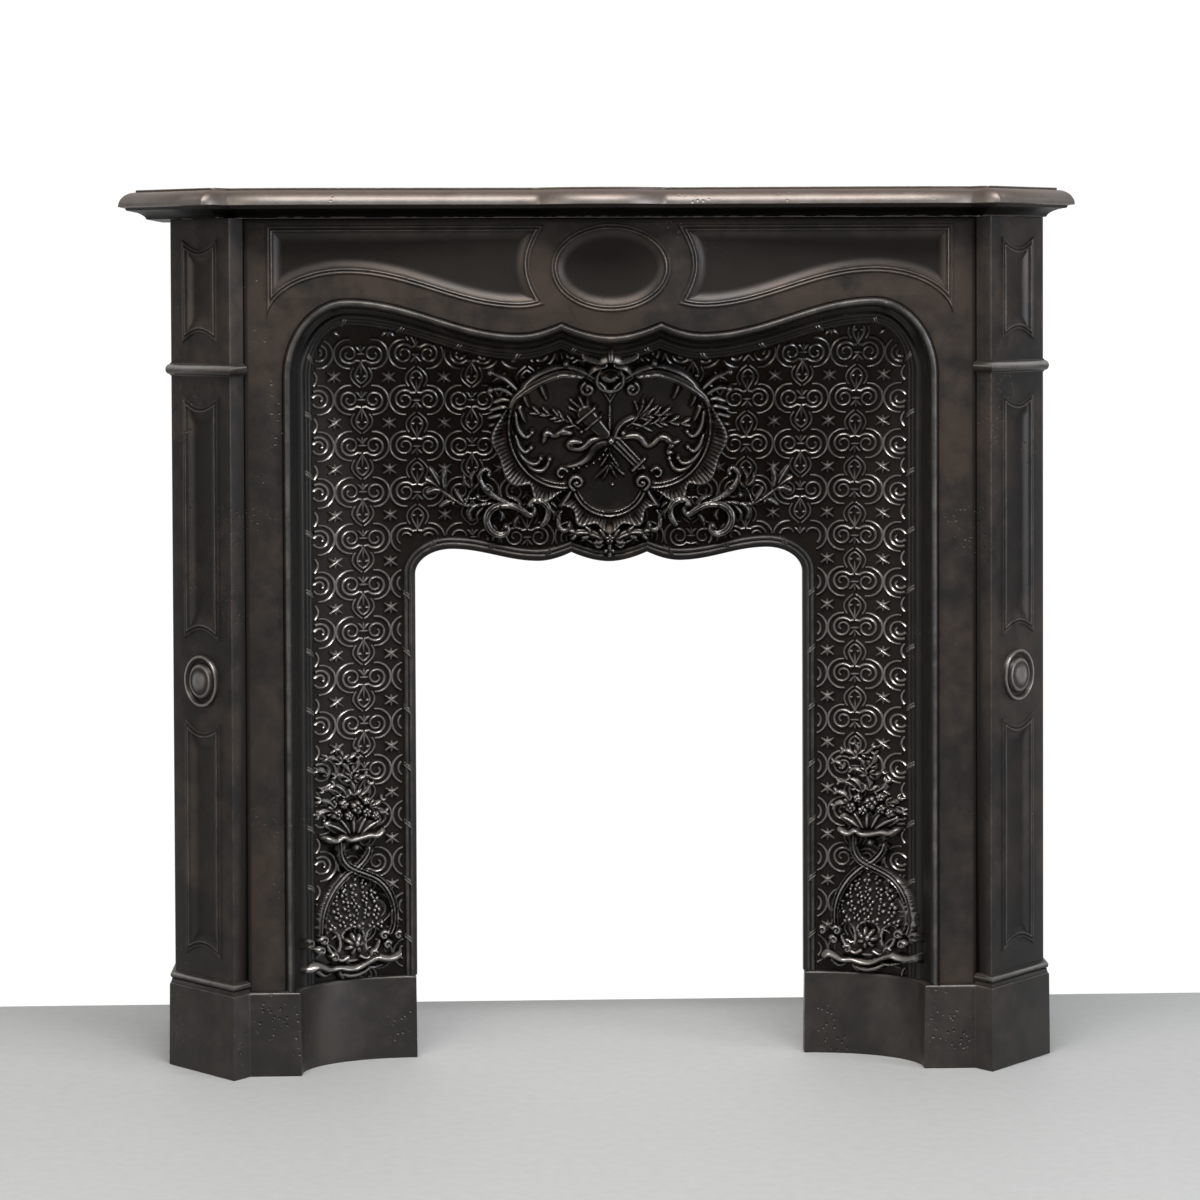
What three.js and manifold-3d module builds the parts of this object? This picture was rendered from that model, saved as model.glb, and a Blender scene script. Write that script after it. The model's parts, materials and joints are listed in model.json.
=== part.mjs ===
// A cast-iron fireplace surround in the Louis XV manner, with a coved and figured insert.
// Millimetres, +Z up, the front faces -Y. The origin is on the floor, under the middle of the shelf.
import * as THREE from 'three';
import { mergeVertices } from 'three/addons/utils/BufferGeometryUtils.js';
import Module from 'manifold-3d';

const wasm = await Module();
wasm.setup();

// Castings in general
const wall = 10;
const jointGap = 0.3;
const rootDepth = 3;

// Fire opening, an arch with two cusps in its head
const openingHalf = 246;
const openingRise = 645;
const openingHead = {
  cuspX: 48,
  dipX: 89,
  cornerReach: 46,
  cuspDrop: 5,
  dipDrop: 16,
  middleDrop: 17,
  cornerDrop: 32,
};

// Coved insert between the opening and the bead
const cheekWidth = 149;
const coveDepth = 94;
const crownRise = 312;
const beadRadius = 5.3;
const beadLift = 6;
const borderStart = 4;
const borderWidth = 17;
const borderLift = 5;
const edgeWidth = 16;
const edgeLift = 5;
const outerHead = {
  cuspX: 62,
  dipX: 113,
  cornerReach: 74,
  cuspDrop: 30,
  dipDrop: 43.5,
  middleDrop: 46,
  cornerDrop: 92,
};

// Flat front, its bands and its frieze
const bandWidth = 48;
const friezeHeight = 100;
const panelRise = 31;
const panelTopMargin = 9;
const panelSideMargin = 29;
const panelTipX = 82;
const panelCornerDrop = 58;
const panelWaist = 18;
const panelDepth = 6;
const ovalHalfWidth = 75;
const ovalHalfHeight = 55;
const ovalDrop = 62;

// Canted pilasters
const returnWidth = 15;
const returnDepth = 18;
const cantWidth = 80;
const cantDepth = 87;
const bodyDepth = 300;
const astragalHeight = 16;
const astragalDrop = 187;
const astragalOut = 7;
const footHeight = 14;
const footOut = 6;
const shaftPanelWidth = 70;
const shaftPanelArc = 13;
const shaftPanelSink = 4.5;
const panelGap = 25;
const bossRadius = 33;
const bossHeight = 488;

// Plinth blocks
const plinthHeight = 104;
const plinthOut = 8;
const plinthDraft = 2;

// Mantel shelf
const rimHeight = 21;
const bedHeight = 15.5;
const shelfOverhang = 45;
const sideOverhang = 50;
const shelfOffset = 13;
const shelfCant = 112;
const scallopWidth = 30;
const scallopDepth = 24;
const shelfCuspX = 79;
const shelfCuspDepth = 30;
const shelfBow = 10;
const shelfRimWidth = 80;
const shelfPlate = 10;

// Ornament on the insert
const cartoucheDrop = 157;
const cartoucheHalfWidth = 148;
const cartoucheHalfHeight = 92;
const cartoucheLift = 17;
const shieldRise = 48;
const shieldRadius = 47;
const sprayRise = 7;
const sprayReach = 150;
const sprayLift = 9;
const cheekFigureHalf = 48;
const cheekFigureHeight = 257;

// Places worked out from the sizes above
const coveEdge = openingHalf + cheekWidth;
const beadX = coveEdge + beadRadius + 0.7;
const bandInner = beadX + beadRadius + jointGap;
const bandOuter = bandInner + bandWidth;
const cornerX = bandOuter + returnWidth;
const bodyHalf = cornerX + cantWidth;
const openingDepth = returnDepth + coveDepth;
const archRise = openingRise + crownRise;
const bodyTop = archRise + beadRadius + friezeHeight;
const shelfBottom = bodyTop + jointGap;
const shelfTop = shelfBottom + bedHeight + rimHeight;
const shelfHalf = bodyHalf + sideOverhang;
const shelfDepth = bodyDepth + shelfOverhang;
const openingArch = { ...openingHead, crestX: openingHalf - openingHead.cornerReach };
const outerArch = { ...outerHead, crestX: beadX - outerHead.cornerReach };
const crownFoot = openingRise - openingArch.dipDrop;
const upperFoot = plinthHeight + jointGap;
const cartoucheZ = archRise - cartoucheDrop;
const shieldZ = openingRise + shieldRise;
const sprayZ = openingRise + sprayRise;

// Solids

// Two axes that span a closed ring's plane, so that the ring runs anticlockwise in them
function ringAxes(ring) {
  const normal = new THREE.Vector3();
  ring.forEach((point, i) => {
    const next = ring[(i + 1) % ring.length];
    normal.add(new THREE.Vector3().crossVectors(point, next));
  });
  normal.normalize();
  const helper = Math.abs(normal.z) < 0.9 ? new THREE.Vector3(0, 0, 1) : new THREE.Vector3(1, 0, 0);
  const across = new THREE.Vector3().crossVectors(helper, normal).normalize();
  const along = new THREE.Vector3().crossVectors(normal, across);
  return { across, along };
}

// A solid skinned over rings of equal count, with its first and last ring closed flat
function solidFromRings(rings) {
  const count = rings[0].length;
  const positions = rings.flat().flatMap((point) => [point.x, point.y, point.z]);
  const index = [];
  for (let ring = 0; ring < rings.length - 1; ring += 1) {
    for (let i = 0; i < count; i += 1) {
      const a = ring * count + i;
      const b = ring * count + ((i + 1) % count);
      index.push(a, b, b + count, a, b + count, a + count);
    }
  }
  const cap = (ring, first, flip) => {
    const { across, along } = ringAxes(ring);
    const flat = ring.map((point) => new THREE.Vector2(point.dot(across), point.dot(along)));
    for (const [a, b, c] of THREE.ShapeUtils.triangulateShape(flat, [])) {
      index.push(first + a, first + (flip ? c : b), first + (flip ? b : c));
    }
  };
  cap(rings[0], 0, true);
  cap(rings[rings.length - 1], (rings.length - 1) * count, false);
  const geometry = new THREE.BufferGeometry();
  geometry.setAttribute('position', new THREE.Float32BufferAttribute(positions, 3));
  geometry.setIndex(index);
  return signedVolume(geometry) < 0 ? flipped(geometry) : geometry;
}

function signedVolume(geometry) {
  const position = geometry.getAttribute('position');
  const index = geometry.getIndex();
  const corner = [0, 1, 2].map(() => new THREE.Vector3());
  let volume = 0;
  for (let i = 0; i < index.count; i += 3) {
    corner.forEach((point, k) => point.fromBufferAttribute(position, index.getX(i + k)));
    volume += corner[0].dot(corner[1].clone().cross(corner[2])) / 6;
  }
  return volume;
}

function flipped(geometry) {
  const index = Array.from(geometry.getIndex().array);
  for (let i = 0; i < index.length; i += 3) {
    [index[i + 1], index[i + 2]] = [index[i + 2], index[i + 1]];
  }
  geometry.setIndex(index);
  return geometry;
}

function mirrored(geometry) {
  return flipped(geometry.clone().scale(-1, 1, 1));
}

function toManifold(geometry) {
  const bare = geometry.clone();
  bare.deleteAttribute('normal');
  bare.deleteAttribute('uv');
  const merged = mergeVertices(bare, 1e-4);
  const vertProperties = new Float32Array(merged.getAttribute('position').array);
  const triVerts = new Uint32Array(merged.getIndex().array);
  return new wasm.Manifold(new wasm.Mesh({ numProp: 3, vertProperties, triVerts }));
}

function fromManifold(solid) {
  const mesh = solid.getMesh();
  const geometry = new THREE.BufferGeometry();
  geometry.setAttribute('position', new THREE.Float32BufferAttribute(mesh.vertProperties, 3));
  geometry.setIndex(Array.from(mesh.triVerts));
  return geometry;
}

function join(geometries) {
  return geometries.map(toManifold).reduce((whole, solid) => whole.add(solid));
}

// Lines in a plane

// The line moved to the left of its direction of travel, with its corners mitred
function sidestep(points, distance, closed = false) {
  const count = points.length;
  const normalAfter = (i) => {
    const step = points[(i + 1) % count].clone().sub(points[i]).normalize();
    return new THREE.Vector2(-step.y, step.x);
  };
  return points.map((point, i) => {
    const atStart = !closed && i === 0;
    const atEnd = !closed && i === count - 1;
    const before = atStart ? normalAfter(0) : normalAfter((i + count - 1) % count);
    const after = atEnd ? before : normalAfter(i);
    const middle = before.clone().add(after).normalize();
    const reach = distance / Math.max(middle.dot(after), 0.4);
    return point.clone().addScaledVector(middle, reach);
  });
}

// Points of a function of a share that runs from 0 to 1
function samples(count, place) {
  return Array.from({ length: count + 1 }, (_, i) => place(i / count));
}

function ease(share) {
  return (1 - Math.cos(Math.PI * share)) / 2;
}

// Height of a cusped arch above its crest at a distance from its middle
function archDrop(arch, x) {
  const away = Math.abs(x);
  if (away < arch.cuspX) {
    const lift = arch.middleDrop - arch.cuspDrop;
    return -arch.middleDrop + lift * (away / arch.cuspX) ** 1.8;
  }
  if (away < arch.dipX) {
    const lift = arch.dipDrop - arch.cuspDrop;
    return -arch.dipDrop + lift * ((arch.dipX - away) / (arch.dipX - arch.cuspX)) ** 1.8;
  }
  if (away < arch.crestX) {
    return -arch.dipDrop * (1 - ease((away - arch.dipX) / (arch.crestX - arch.dipX)));
  }
  return 0;
}

// The whole arch from its left foot to its right foot, always with the same number of points
function archPath(arch, half, rise, foot) {
  const head = (from, to, count) =>
    samples(count, (t) => {
      const x = from + (to - from) * t;
      return new THREE.Vector2(x, rise + archDrop(arch, x));
    });
  const corner = samples(4, (t) => {
    const angle = (t * Math.PI) / 2;
    return new THREE.Vector2(
      arch.crestX + (half - arch.crestX) * Math.sin(angle),
      rise - arch.cornerDrop * (1 - Math.cos(angle)),
    );
  });
  const right = [
    ...head(0, arch.cuspX, 2),
    ...head(arch.cuspX, arch.dipX, 2).slice(1),
    ...head(arch.dipX, arch.crestX, 4).slice(1),
    ...corner.slice(1),
    new THREE.Vector2(half, foot),
  ];
  const left = right.slice(1).reverse().map((point) => new THREE.Vector2(-point.x, point.y));
  return [...left, ...right];
}

const beadPath = archPath(outerArch, beadX, archRise, upperFoot);
const openingPath = archPath(openingArch, openingHalf, openingRise, upperFoot);

// The cove: a quarter ellipse from the opening to the bead, on the cheeks and in the crown alike
function coveAt(x, z) {
  const across = Math.max(0, Math.abs(x) - openingHalf) / cheekWidth;
  const crownTop = archRise + archDrop(outerArch, x) - beadRadius;
  const up = Math.max(0, z - crownFoot) / (crownTop - crownFoot);
  const reach = Math.min(0.99, (across ** 8 + up ** 8) ** (1 / 8));
  return openingDepth - coveDepth * (1 - Math.sqrt(1 - reach * reach));
}

// A point that stands a height off the cove, square to it
function onCove(x, z, height) {
  const step = 0.5;
  const slopeX = (coveAt(x + step, z) - coveAt(x - step, z)) / (2 * step);
  const slopeZ = (coveAt(x, z + step) - coveAt(x, z - step)) / (2 * step);
  const normal = new THREE.Vector3(slopeX, -1, slopeZ).normalize();
  return new THREE.Vector3(x, coveAt(x, z), z).addScaledVector(normal, height);
}

// Insert

function insertShell() {
  const beadRows = samples(4, (t) => {
    const angle = Math.PI * t;
    return {
      line: sidestep(beadPath, beadRadius * Math.cos(angle)),
      depth: returnDepth - beadLift * Math.sin(angle),
    };
  });
  const flatPoint = (line, depth) => (i) => new THREE.Vector3(line[i].x, depth, line[i].y);
  const covePoint = (line, height) => (i) => onCove(line[i].x, line[i].y, height);
  const borderLine = (share) => sidestep(beadPath, -(beadRadius + borderStart + borderWidth * share));
  const edgeLine = (share) => sidestep(openingPath, edgeWidth * share);
  const borderInner = borderLine(1);
  const edgeOuter = edgeLine(1);
  const between = (share) => borderInner.map((point, i) => point.clone().lerp(edgeOuter[i], share));
  const front = [
    flatPoint(sidestep(beadPath, beadRadius), returnDepth + beadRadius),
    ...beadRows.map((row) => flatPoint(row.line, row.depth)),
    covePoint(borderLine(-0.1), 0),
    covePoint(borderLine(0), 0),
    covePoint(borderLine(0.25), borderLift),
    covePoint(borderLine(0.75), borderLift),
    covePoint(borderInner, 0),
    ...[0.18, 0.4, 0.68].map((share) => covePoint(between(share), 0)),
    covePoint(edgeOuter, 0),
    covePoint(edgeLine(0.75), edgeLift),
    covePoint(edgeLine(0.25), edgeLift),
    covePoint(edgeLine(0), 0),
  ];
  const back = [
    covePoint(edgeLine(0), -wall),
    covePoint(edgeOuter, -wall),
    ...[0.6, 0.25].map((share) => covePoint(between(share), -wall)),
    covePoint(borderInner, -wall),
    covePoint(borderLine(0.4), -wall),
  ];
  const rows = [...front, ...back];
  return solidFromRings(beadPath.map((_, i) => rows.map((row) => row(i))));
}

// A raised form on the cove: an outline drawn in towards its middle while its height changes
function mound(outline, middle, steps) {
  return solidFromRings(steps.map(([share, height]) =>
    outline.map((point) => {
      const place = middle.clone().lerp(point, share);
      return onCove(place.x, place.y, height);
    })));
}

// A tapered rib that follows a line on the cove
function rib(line, widths, height) {
  const left = line.map((_, i) => sidestep(line, widths[i])[i]);
  const right = line.map((_, i) => sidestep(line, -widths[i])[i]);
  return solidFromRings(line.map((point, i) => [
    onCove(left[i].x, left[i].y, -rootDepth),
    onCove(point.x, point.y, height),
    onCove(right[i].x, right[i].y, -rootDepth),
  ]));
}

// A rounded boss on the cove
function knob(x, z, radius, height, sides = 6) {
  const outline = Array.from({ length: sides }, (_, i) => {
    const angle = (2 * Math.PI * i) / sides;
    return new THREE.Vector2(x + radius * Math.cos(angle), z + radius * Math.sin(angle));
  });
  return mound(outline, new THREE.Vector2(x, z), [[1.1, -rootDepth], [0.6, height]]);
}

// A spiral scroll that winds in from its start
function scrollLine(x, z, radius, startAngle, turns, count = 9) {
  return samples(count, (t) => {
    const angle = startAngle + 2 * Math.PI * turns * t;
    const reach = radius * (1 - 0.8 * t);
    return new THREE.Vector2(x + reach * Math.cos(angle), z + reach * Math.sin(angle));
  });
}

function taper(count, widest, power = 1) {
  return samples(count - 1, (t) => widest * (0.35 + 0.65 * Math.sin(Math.PI * (0.12 + 0.83 * t ** power))));
}

// Both halves of an ornament that is the same left and right
function bothSides(make) {
  return [1, -1].flatMap((side) => make(side));
}

function cartouche() {
  const middle = new THREE.Vector2(0, cartoucheZ);
  const rounded = (value) => Math.sign(value) * Math.abs(value) ** 0.86;
  const outline = (halfWidth, halfHeight, ruffle) => samples(30, (t) => {
    const angle = 2 * Math.PI * t + Math.PI / 2;
    const swell = 1 + ruffle * Math.cos(10 * (2 * Math.PI * t));
    const lobe = Math.max(0, -Math.sin(angle)) * Math.sin(2 * angle) ** 2 * 0.2;
    return new THREE.Vector2(
      halfWidth * swell * rounded(Math.cos(angle)),
      cartoucheZ + halfHeight * (swell * rounded(Math.sin(angle)) - lobe),
    );
  }).slice(1);
  const body = mound(outline(cartoucheHalfWidth, cartoucheHalfHeight, 0.035), middle, [
    [0.5, -2 * rootDepth], [1, -2 * rootDepth], [0.97, cartoucheLift * 0.9], [0.85, cartoucheLift * 0.5],
    [0.81, cartoucheLift], [0.76, cartoucheLift * 0.55], [0.35, cartoucheLift * 0.55],
  ]);
  const shieldOutline = samples(16, (t) => {
    const angle = 2 * Math.PI * t;
    const scallop = 1 + 0.06 * Math.cos(8 * angle);
    const reach = shieldRadius * scallop;
    return new THREE.Vector2(reach * Math.cos(angle), shieldZ + reach * Math.sin(angle));
  }).slice(1);
  const shield = mound(shieldOutline, new THREE.Vector2(0, shieldZ), [
    [1, -rootDepth], [0.94, cartoucheLift * 1.1], [0.74, cartoucheLift * 1.15], [0.64, cartoucheLift * 0.8],
  ]);
  const trophy = bothSides((side) => {
    const shaft = samples(3, (t) => new THREE.Vector2(side * (44 - 84 * t), cartoucheZ + 38 - 78 * t));
    return [rib(shaft, [6, 5, 4, 3], cartoucheLift * 0.95)];
  });
  const sprigs = bothSides((side) => [0, 1].map((row) => {
    const line = samples(4, (t) => new THREE.Vector2(
      side * (12 + 52 * t),
      cartoucheZ + 4 - 18 * row + (14 - 16 * row) * Math.sin(Math.PI * 0.8 * t),
    ));
    return rib(line, taper(5, 4), cartoucheLift * 0.8);
  }));
  const crest = [
    knob(0, cartoucheZ + cartoucheHalfHeight - 4, 15, cartoucheLift * 1.2, 8),
    ...bothSides((side) => [
      rib(
        scrollLine(
          side * cartoucheHalfWidth * 0.23,
          cartoucheZ + cartoucheHalfHeight * 0.85,
          cartoucheHalfHeight * 0.2,
          Math.PI / 2 - side * Math.PI / 2,
          side * 0.6,
          6,
        ),
        taper(7, 5),
        cartoucheLift * 1.1,
      ),
      knob(side * cartoucheHalfWidth, cartoucheZ + cartoucheHalfHeight * 0.8, 7, cartoucheLift, 6),
      knob(side * cartoucheHalfWidth, cartoucheZ + cartoucheHalfHeight * 0.54, 6, cartoucheLift, 6),
    ]),
  ];
  const foot = [
    knob(0, shieldZ - shieldRadius - 2, 12, cartoucheLift, 8),
    ...bothSides((side) => [knob(side * 13, shieldZ - shieldRadius - 13, 7, cartoucheLift * 0.6, 6)]),
  ];
  return [body, shield, ...trophy, ...sprigs, ...crest, ...foot];
}

// Acanthus sprays that grow sideways from under the cartouche
function sprays() {
  return bothSides((side) => {
    const inner = shieldRadius + 15;
    const stem = samples(9, (t) => new THREE.Vector2(
      side * (inner + sprayReach * t),
      sprayZ + 30 * Math.sin(Math.PI * 1.25 * t) + 62 * t ** 2,
    ));
    const scrolls = [
      [16, 24, 22, 0.9],
      [56, 12, 20, -0.8],
      [106, 38, 17, 0.8],
    ].map(([out, up, radius, turns]) => {
      const start = side > 0 ? Math.PI : 0;
      const line = scrollLine(side * (inner + out), sprayZ + up, radius, start, side * turns, 7);
      return rib(line, taper(8, 4.5), sprayLift * 1.3);
    });
    const leaves = [[88, 60, 0.9], [130, 80, 1.2], [158, 64, 0.3]].map(([out, up, lean]) => {
      const line = samples(3, (t) => new THREE.Vector2(
        side * (inner + out + 20 * t * Math.cos(lean)),
        sprayZ + up + 20 * t * Math.sin(lean),
      ));
      return rib(line, [2, 5, 4.5, 1], sprayLift);
    });
    return [rib(stem, taper(10, 5.5, 0.7), sprayLift * 1.4), ...scrolls, ...leaves];
  });
}

// A caged bouquet at the foot of each cheek
function cheekFigure() {
  const middleX = openingHalf + cheekWidth * 0.555;
  const at = (x, share) => new THREE.Vector2(
    middleX + x * cheekFigureHalf,
    upperFoot + cheekFigureHeight * share,
  );
  const straps = [1, -1].map((side) => {
    const line = samples(9, (t) => at(
      side * (Math.cos(Math.PI * (1.08 * t - 0.25)) * (1 - 0.15 * t) - 0.28),
      0.1 + 0.58 * t,
    ));
    return rib(line, taper(10, 4), 9);
  });
  const base = [1, -1].map((side) => rib(
    samples(6, (t) => at(side * (0.1 + 1.1 * t), 0.065 + 0.05 * Math.sin(Math.PI * t) + 0.07 * t ** 3)),
    taper(7, 6), 11,
  ));
  const blooms = [
    [0, 0.14, 16, 13], [0, 0.36, 14, 10], [0, 0.7, 17, 11], [-0.5, 0.7, 13, 9], [0.5, 0.7, 13, 9],
    [-0.3, 0.84, 14, 10], [0.3, 0.84, 14, 10], [0, 0.92, 12, 9],
  ].map(([x, share, radius, height]) => {
    const place = at(x, share);
    return knob(place.x, place.y, radius, height, 6);
  });
  return [...straps, ...base, ...blooms];
}

function insertGeometry() {
  const figure = cheekFigure();
  const solid = join([
    insertShell(),
    ...cartouche(),
    ...sprays(),
    ...figure,
    ...figure.map(mirrored),
  ]);
  const floor = new THREE.BoxGeometry(4 * bodyHalf, 4 * bodyDepth, 2 * upperFoot);
  return fromManifold(solid.subtract(toManifold(floor)));
}

// Front

// A plate with its outline in the X and Z plane, a depth of the face and a thickness behind it
function plate(outline, depth, thickness) {
  const faces = [depth + thickness, depth];
  return solidFromRings(faces.map((y) => outline.map((p) => new THREE.Vector3(p.x, y, p.y))));
}

// Steps of an inset and a lift off a face become rings of an outline in that face
function relief(outline, depth, steps) {
  return solidFromRings(steps.map(([inset, lift]) =>
    sidestep(outline, inset, true).map((p) => new THREE.Vector3(p.x, depth - lift, p.y))));
}

// A moulded frame around a sunk field: what is added to a face, and what is then cut from it
function sunkPanel(outline, depth, sink) {
  return {
    raised: relief(outline, depth, [[0, -1], [1, 1.8], [3, 1.8], [4.5, 0.4], [5.5, 2.2], [7, 2.2]]),
    cut: relief(outline, depth, [[6, 6], [6, 1], [9, -sink]]),
  };
}

function friezePanel() {
  const lower = (x) => archRise + archDrop(outerArch, x) + beadRadius + panelRise;
  const left = -(bandOuter - panelSideMargin);
  const crest = -outerArch.crestX;
  const tip = -(panelTipX + panelWaist);
  const top = bodyTop - panelTopMargin;
  const tipZ = lower(tip) + 4;
  const corner = samples(3, (t) => {
    const angle = (t * Math.PI) / 2;
    return new THREE.Vector2(
      crest + (left - crest) * Math.cos(angle),
      lower(crest) - panelCornerDrop * (1 - Math.sin(angle)),
    );
  });
  const bottom = samples(6, (t) => {
    const x = crest + (tip - panelWaist - crest) * t;
    return new THREE.Vector2(x, lower(x));
  });
  const waist = samples(4, (t) => new THREE.Vector2(
    -panelTipX - panelWaist * Math.sin(Math.PI * t),
    tipZ + (top - tipZ) * t,
  ));
  return [...corner, ...bottom.slice(1), ...waist, new THREE.Vector2(left, top)];
}

function frontGeometry() {
  const side = bandOuter - jointGap;
  const outline = [
    new THREE.Vector2(-side, upperFoot),
    ...sidestep(beadPath, beadRadius + jointGap),
    new THREE.Vector2(side, upperFoot),
    new THREE.Vector2(side, bodyTop),
    new THREE.Vector2(-side, bodyTop),
  ];
  const left = friezePanel();
  const right = left.map((p) => new THREE.Vector2(-p.x, p.y)).reverse();
  const oval = samples(28, (t) => new THREE.Vector2(
    ovalHalfWidth * Math.cos(2 * Math.PI * t),
    bodyTop - ovalDrop + ovalHalfHeight * Math.sin(2 * Math.PI * t),
  )).slice(1);
  const panels = [left, right].map((line) => sunkPanel(line, returnDepth, panelDepth));
  const ovalPanel = sunkPanel(oval, returnDepth, panelDepth);
  const all = [...panels, ovalPanel];
  let solid = join([plate(outline, returnDepth, wall), ...all.map((panel) => panel.raised)]);
  for (const panel of all) {
    solid = solid.subtract(toManifold(panel.cut));
  }
  return fromManifold(solid);
}

// Pilasters

// A moulding carried along a line in plan, from its profile of steps out from the line and heights
function moulding(line, profile) {
  const rows = profile.map(([out, z]) => sidestep(line, out).map((p) => new THREE.Vector3(p.x, p.y, z)));
  return solidFromRings(line.map((_, i) => rows.map((row) => row[i])));
}

const pilasterLine = [
  new THREE.Vector2(bodyHalf, bodyDepth),
  new THREE.Vector2(bodyHalf, cantDepth),
  new THREE.Vector2(cornerX, 0),
  new THREE.Vector2(bandOuter, returnDepth),
];

function shell(line, bottom, top, thickness) {
  const loop = [...line, ...sidestep(line, -thickness).reverse()];
  return solidFromRings([bottom, top].map((z) => loop.map((p) => new THREE.Vector3(p.x, p.y, z))));
}

function shaftPanel(bottom, top) {
  const half = shaftPanelWidth / 2;
  const arc = (from, to, z, rise) => samples(5, (t) => new THREE.Vector2(
    from + (to - from) * t,
    z + rise * Math.sin(Math.PI * t),
  ));
  return [...arc(-half, half, bottom, shaftPanelArc), ...arc(half, -half, top, -shaftPanelArc)];
}

// Work laid out on a flat face is turned onto the canted face of the right-hand pilaster
function ontoCant(geometry) {
  const angle = Math.atan2(cantDepth, cantWidth);
  return geometry.clone().rotateZ(angle).translate(cornerX + cantWidth / 2, cantDepth / 2, 0);
}

function pilasterGeometry() {
  const astragalZ = bodyTop - astragalDrop;
  const foot = [
    [-rootDepth, 0],
    [footOut - 1, 0],
    [footOut - 2, footHeight * 0.25],
    [footOut, footHeight * 0.36],
    [footOut, footHeight * 0.7],
    [footOut - 2, footHeight],
    [-rootDepth, footHeight],
  ].map(([out, z]) => [out, upperFoot + z]);
  const half = astragalHeight / 2;
  const astragal = [
    [-rootDepth, -half],
    [1.5, -half],
    [astragalOut - 1, -half * 0.5],
    [astragalOut, 0],
    [astragalOut - 1, half * 0.5],
    [1.5, half],
    [-rootDepth, half],
  ].map(([out, z]) => [out, astragalZ + z]);
  const panels = [
    [astragalZ + half + panelGap, bodyTop - panelGap],
    [bossHeight + bossRadius + panelGap * 0.7, astragalZ - half - panelGap],
    [upperFoot + footHeight + panelGap, bossHeight - bossRadius - panelGap * 0.7],
  ].map(([bottom, top]) => sunkPanel(shaftPanel(bottom, top), 0, shaftPanelSink));
  const bossLine = samples(16, (t) => new THREE.Vector2(
    bossRadius * Math.cos(2 * Math.PI * t),
    bossHeight + bossRadius * Math.sin(2 * Math.PI * t),
  )).slice(1);
  const boss = relief(bossLine, 0, [[0, -1], [1.5, 3.5], [5, 3.5], [8, 0.8], [13, 5], [20, 8]]);
  let solid = join([
    shell(pilasterLine, upperFoot, bodyTop, wall),
    moulding(pilasterLine, foot),
    moulding(pilasterLine, astragal),
    ontoCant(boss),
    ...panels.map((panel) => ontoCant(panel.raised)),
  ]);
  for (const panel of panels) {
    solid = solid.subtract(toManifold(ontoCant(panel.cut)));
  }
  return fromManifold(solid);
}

// Plinth blocks

function plinthGeometry() {
  const cove = samples(8, (t) => {
    const angle = (Math.PI / 2) * t;
    return new THREE.Vector2(
      openingHalf + cheekWidth * Math.cos(angle),
      openingDepth - coveDepth * (1 - Math.sin(angle)),
    );
  });
  const line = [...pilasterLine, ...cove];
  const outer = sidestep(line, plinthOut);
  outer[outer.length - 1].x = openingHalf;
  const loop = [...outer, ...sidestep(line, -wall).reverse()];
  const steps = [[0, 0], [plinthDraft * 0.6, plinthHeight - 1.5], [plinthDraft, plinthHeight]];
  return solidFromRings(steps.map(([inset, z]) =>
    sidestep(loop, -inset, true).map((p) => new THREE.Vector3(p.x, p.y, z))));
}

// Mantel shelf

// The shelf's line in plan, a distance in from its lower edge
function shelfLine(inset) {
  const corner = shelfHalf - shelfCant;
  const crease = corner - scallopWidth;
  const front = inset - shelfOverhang;
  const mitre = Math.tan(Math.PI / 8) * inset;
  const right = [
    ...samples(5, (t) => new THREE.Vector2(shelfCuspX * t, front + shelfCuspDepth * t ** 2.2)),
    ...samples(9, (t) => new THREE.Vector2(
      shelfCuspX + (crease - shelfCuspX) * t,
      front + shelfCuspDepth + (shelfBow - shelfCuspDepth) * ease(t ** 0.8)
        + (scallopDepth - shelfBow) * Math.max(0, (t - 0.8) / 0.2) ** 2,
    )).slice(1),
    ...samples(3, (t) => new THREE.Vector2(
      crease + (scallopWidth - mitre) * t,
      front + scallopDepth * (1 - Math.sin((Math.PI / 2) * t)),
    )).slice(1),
    new THREE.Vector2(shelfHalf - inset, shelfCant - shelfOverhang + mitre),
    new THREE.Vector2(shelfHalf - inset, bodyDepth),
  ];
  const left = right.slice(1).reverse().map((p) => new THREE.Vector2(-p.x, p.y));
  return [...left, ...right];
}

function shelfGeometry() {
  const bed = shelfBottom + bedHeight;
  const rings = (steps) => solidFromRings(steps.map(([inset, z]) =>
    shelfLine(inset).map((p) => new THREE.Vector3(p.x, p.y, z))));
  const whole = rings([
    [34, shelfBottom],
    [24, shelfBottom + bedHeight * 0.45],
    [10, bed - bedHeight * 0.3],
    [8.5, bed - bedHeight * 0.1],
    [0, bed],
    [2, bed + rimHeight * 0.35],
    [9, bed + rimHeight * 0.7],
    [21, bed + rimHeight * 0.86],
    [21, shelfTop],
  ]);
  const half = shelfHalf - shelfRimWidth;
  const depth = bodyDepth + shelfOverhang - 2 * shelfRimWidth;
  const inside = new THREE.BoxGeometry(2 * half, depth, 2 * (rimHeight + bedHeight - shelfPlate))
    .translate(0, bodyDepth - shelfRimWidth - depth / 2, shelfBottom);
  return fromManifold(toManifold(whole).subtract(toManifold(inside)));
}

// Parts in their places

function casting(name, geometry, color) {
  const material = new THREE.MeshStandardMaterial({ color, roughness: 0.45, metalness: 0.6 });
  const mesh = new THREE.Mesh(geometry, material);
  mesh.name = name;
  return mesh;
}

const pilaster = pilasterGeometry();
const plinth = plinthGeometry();

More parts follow.
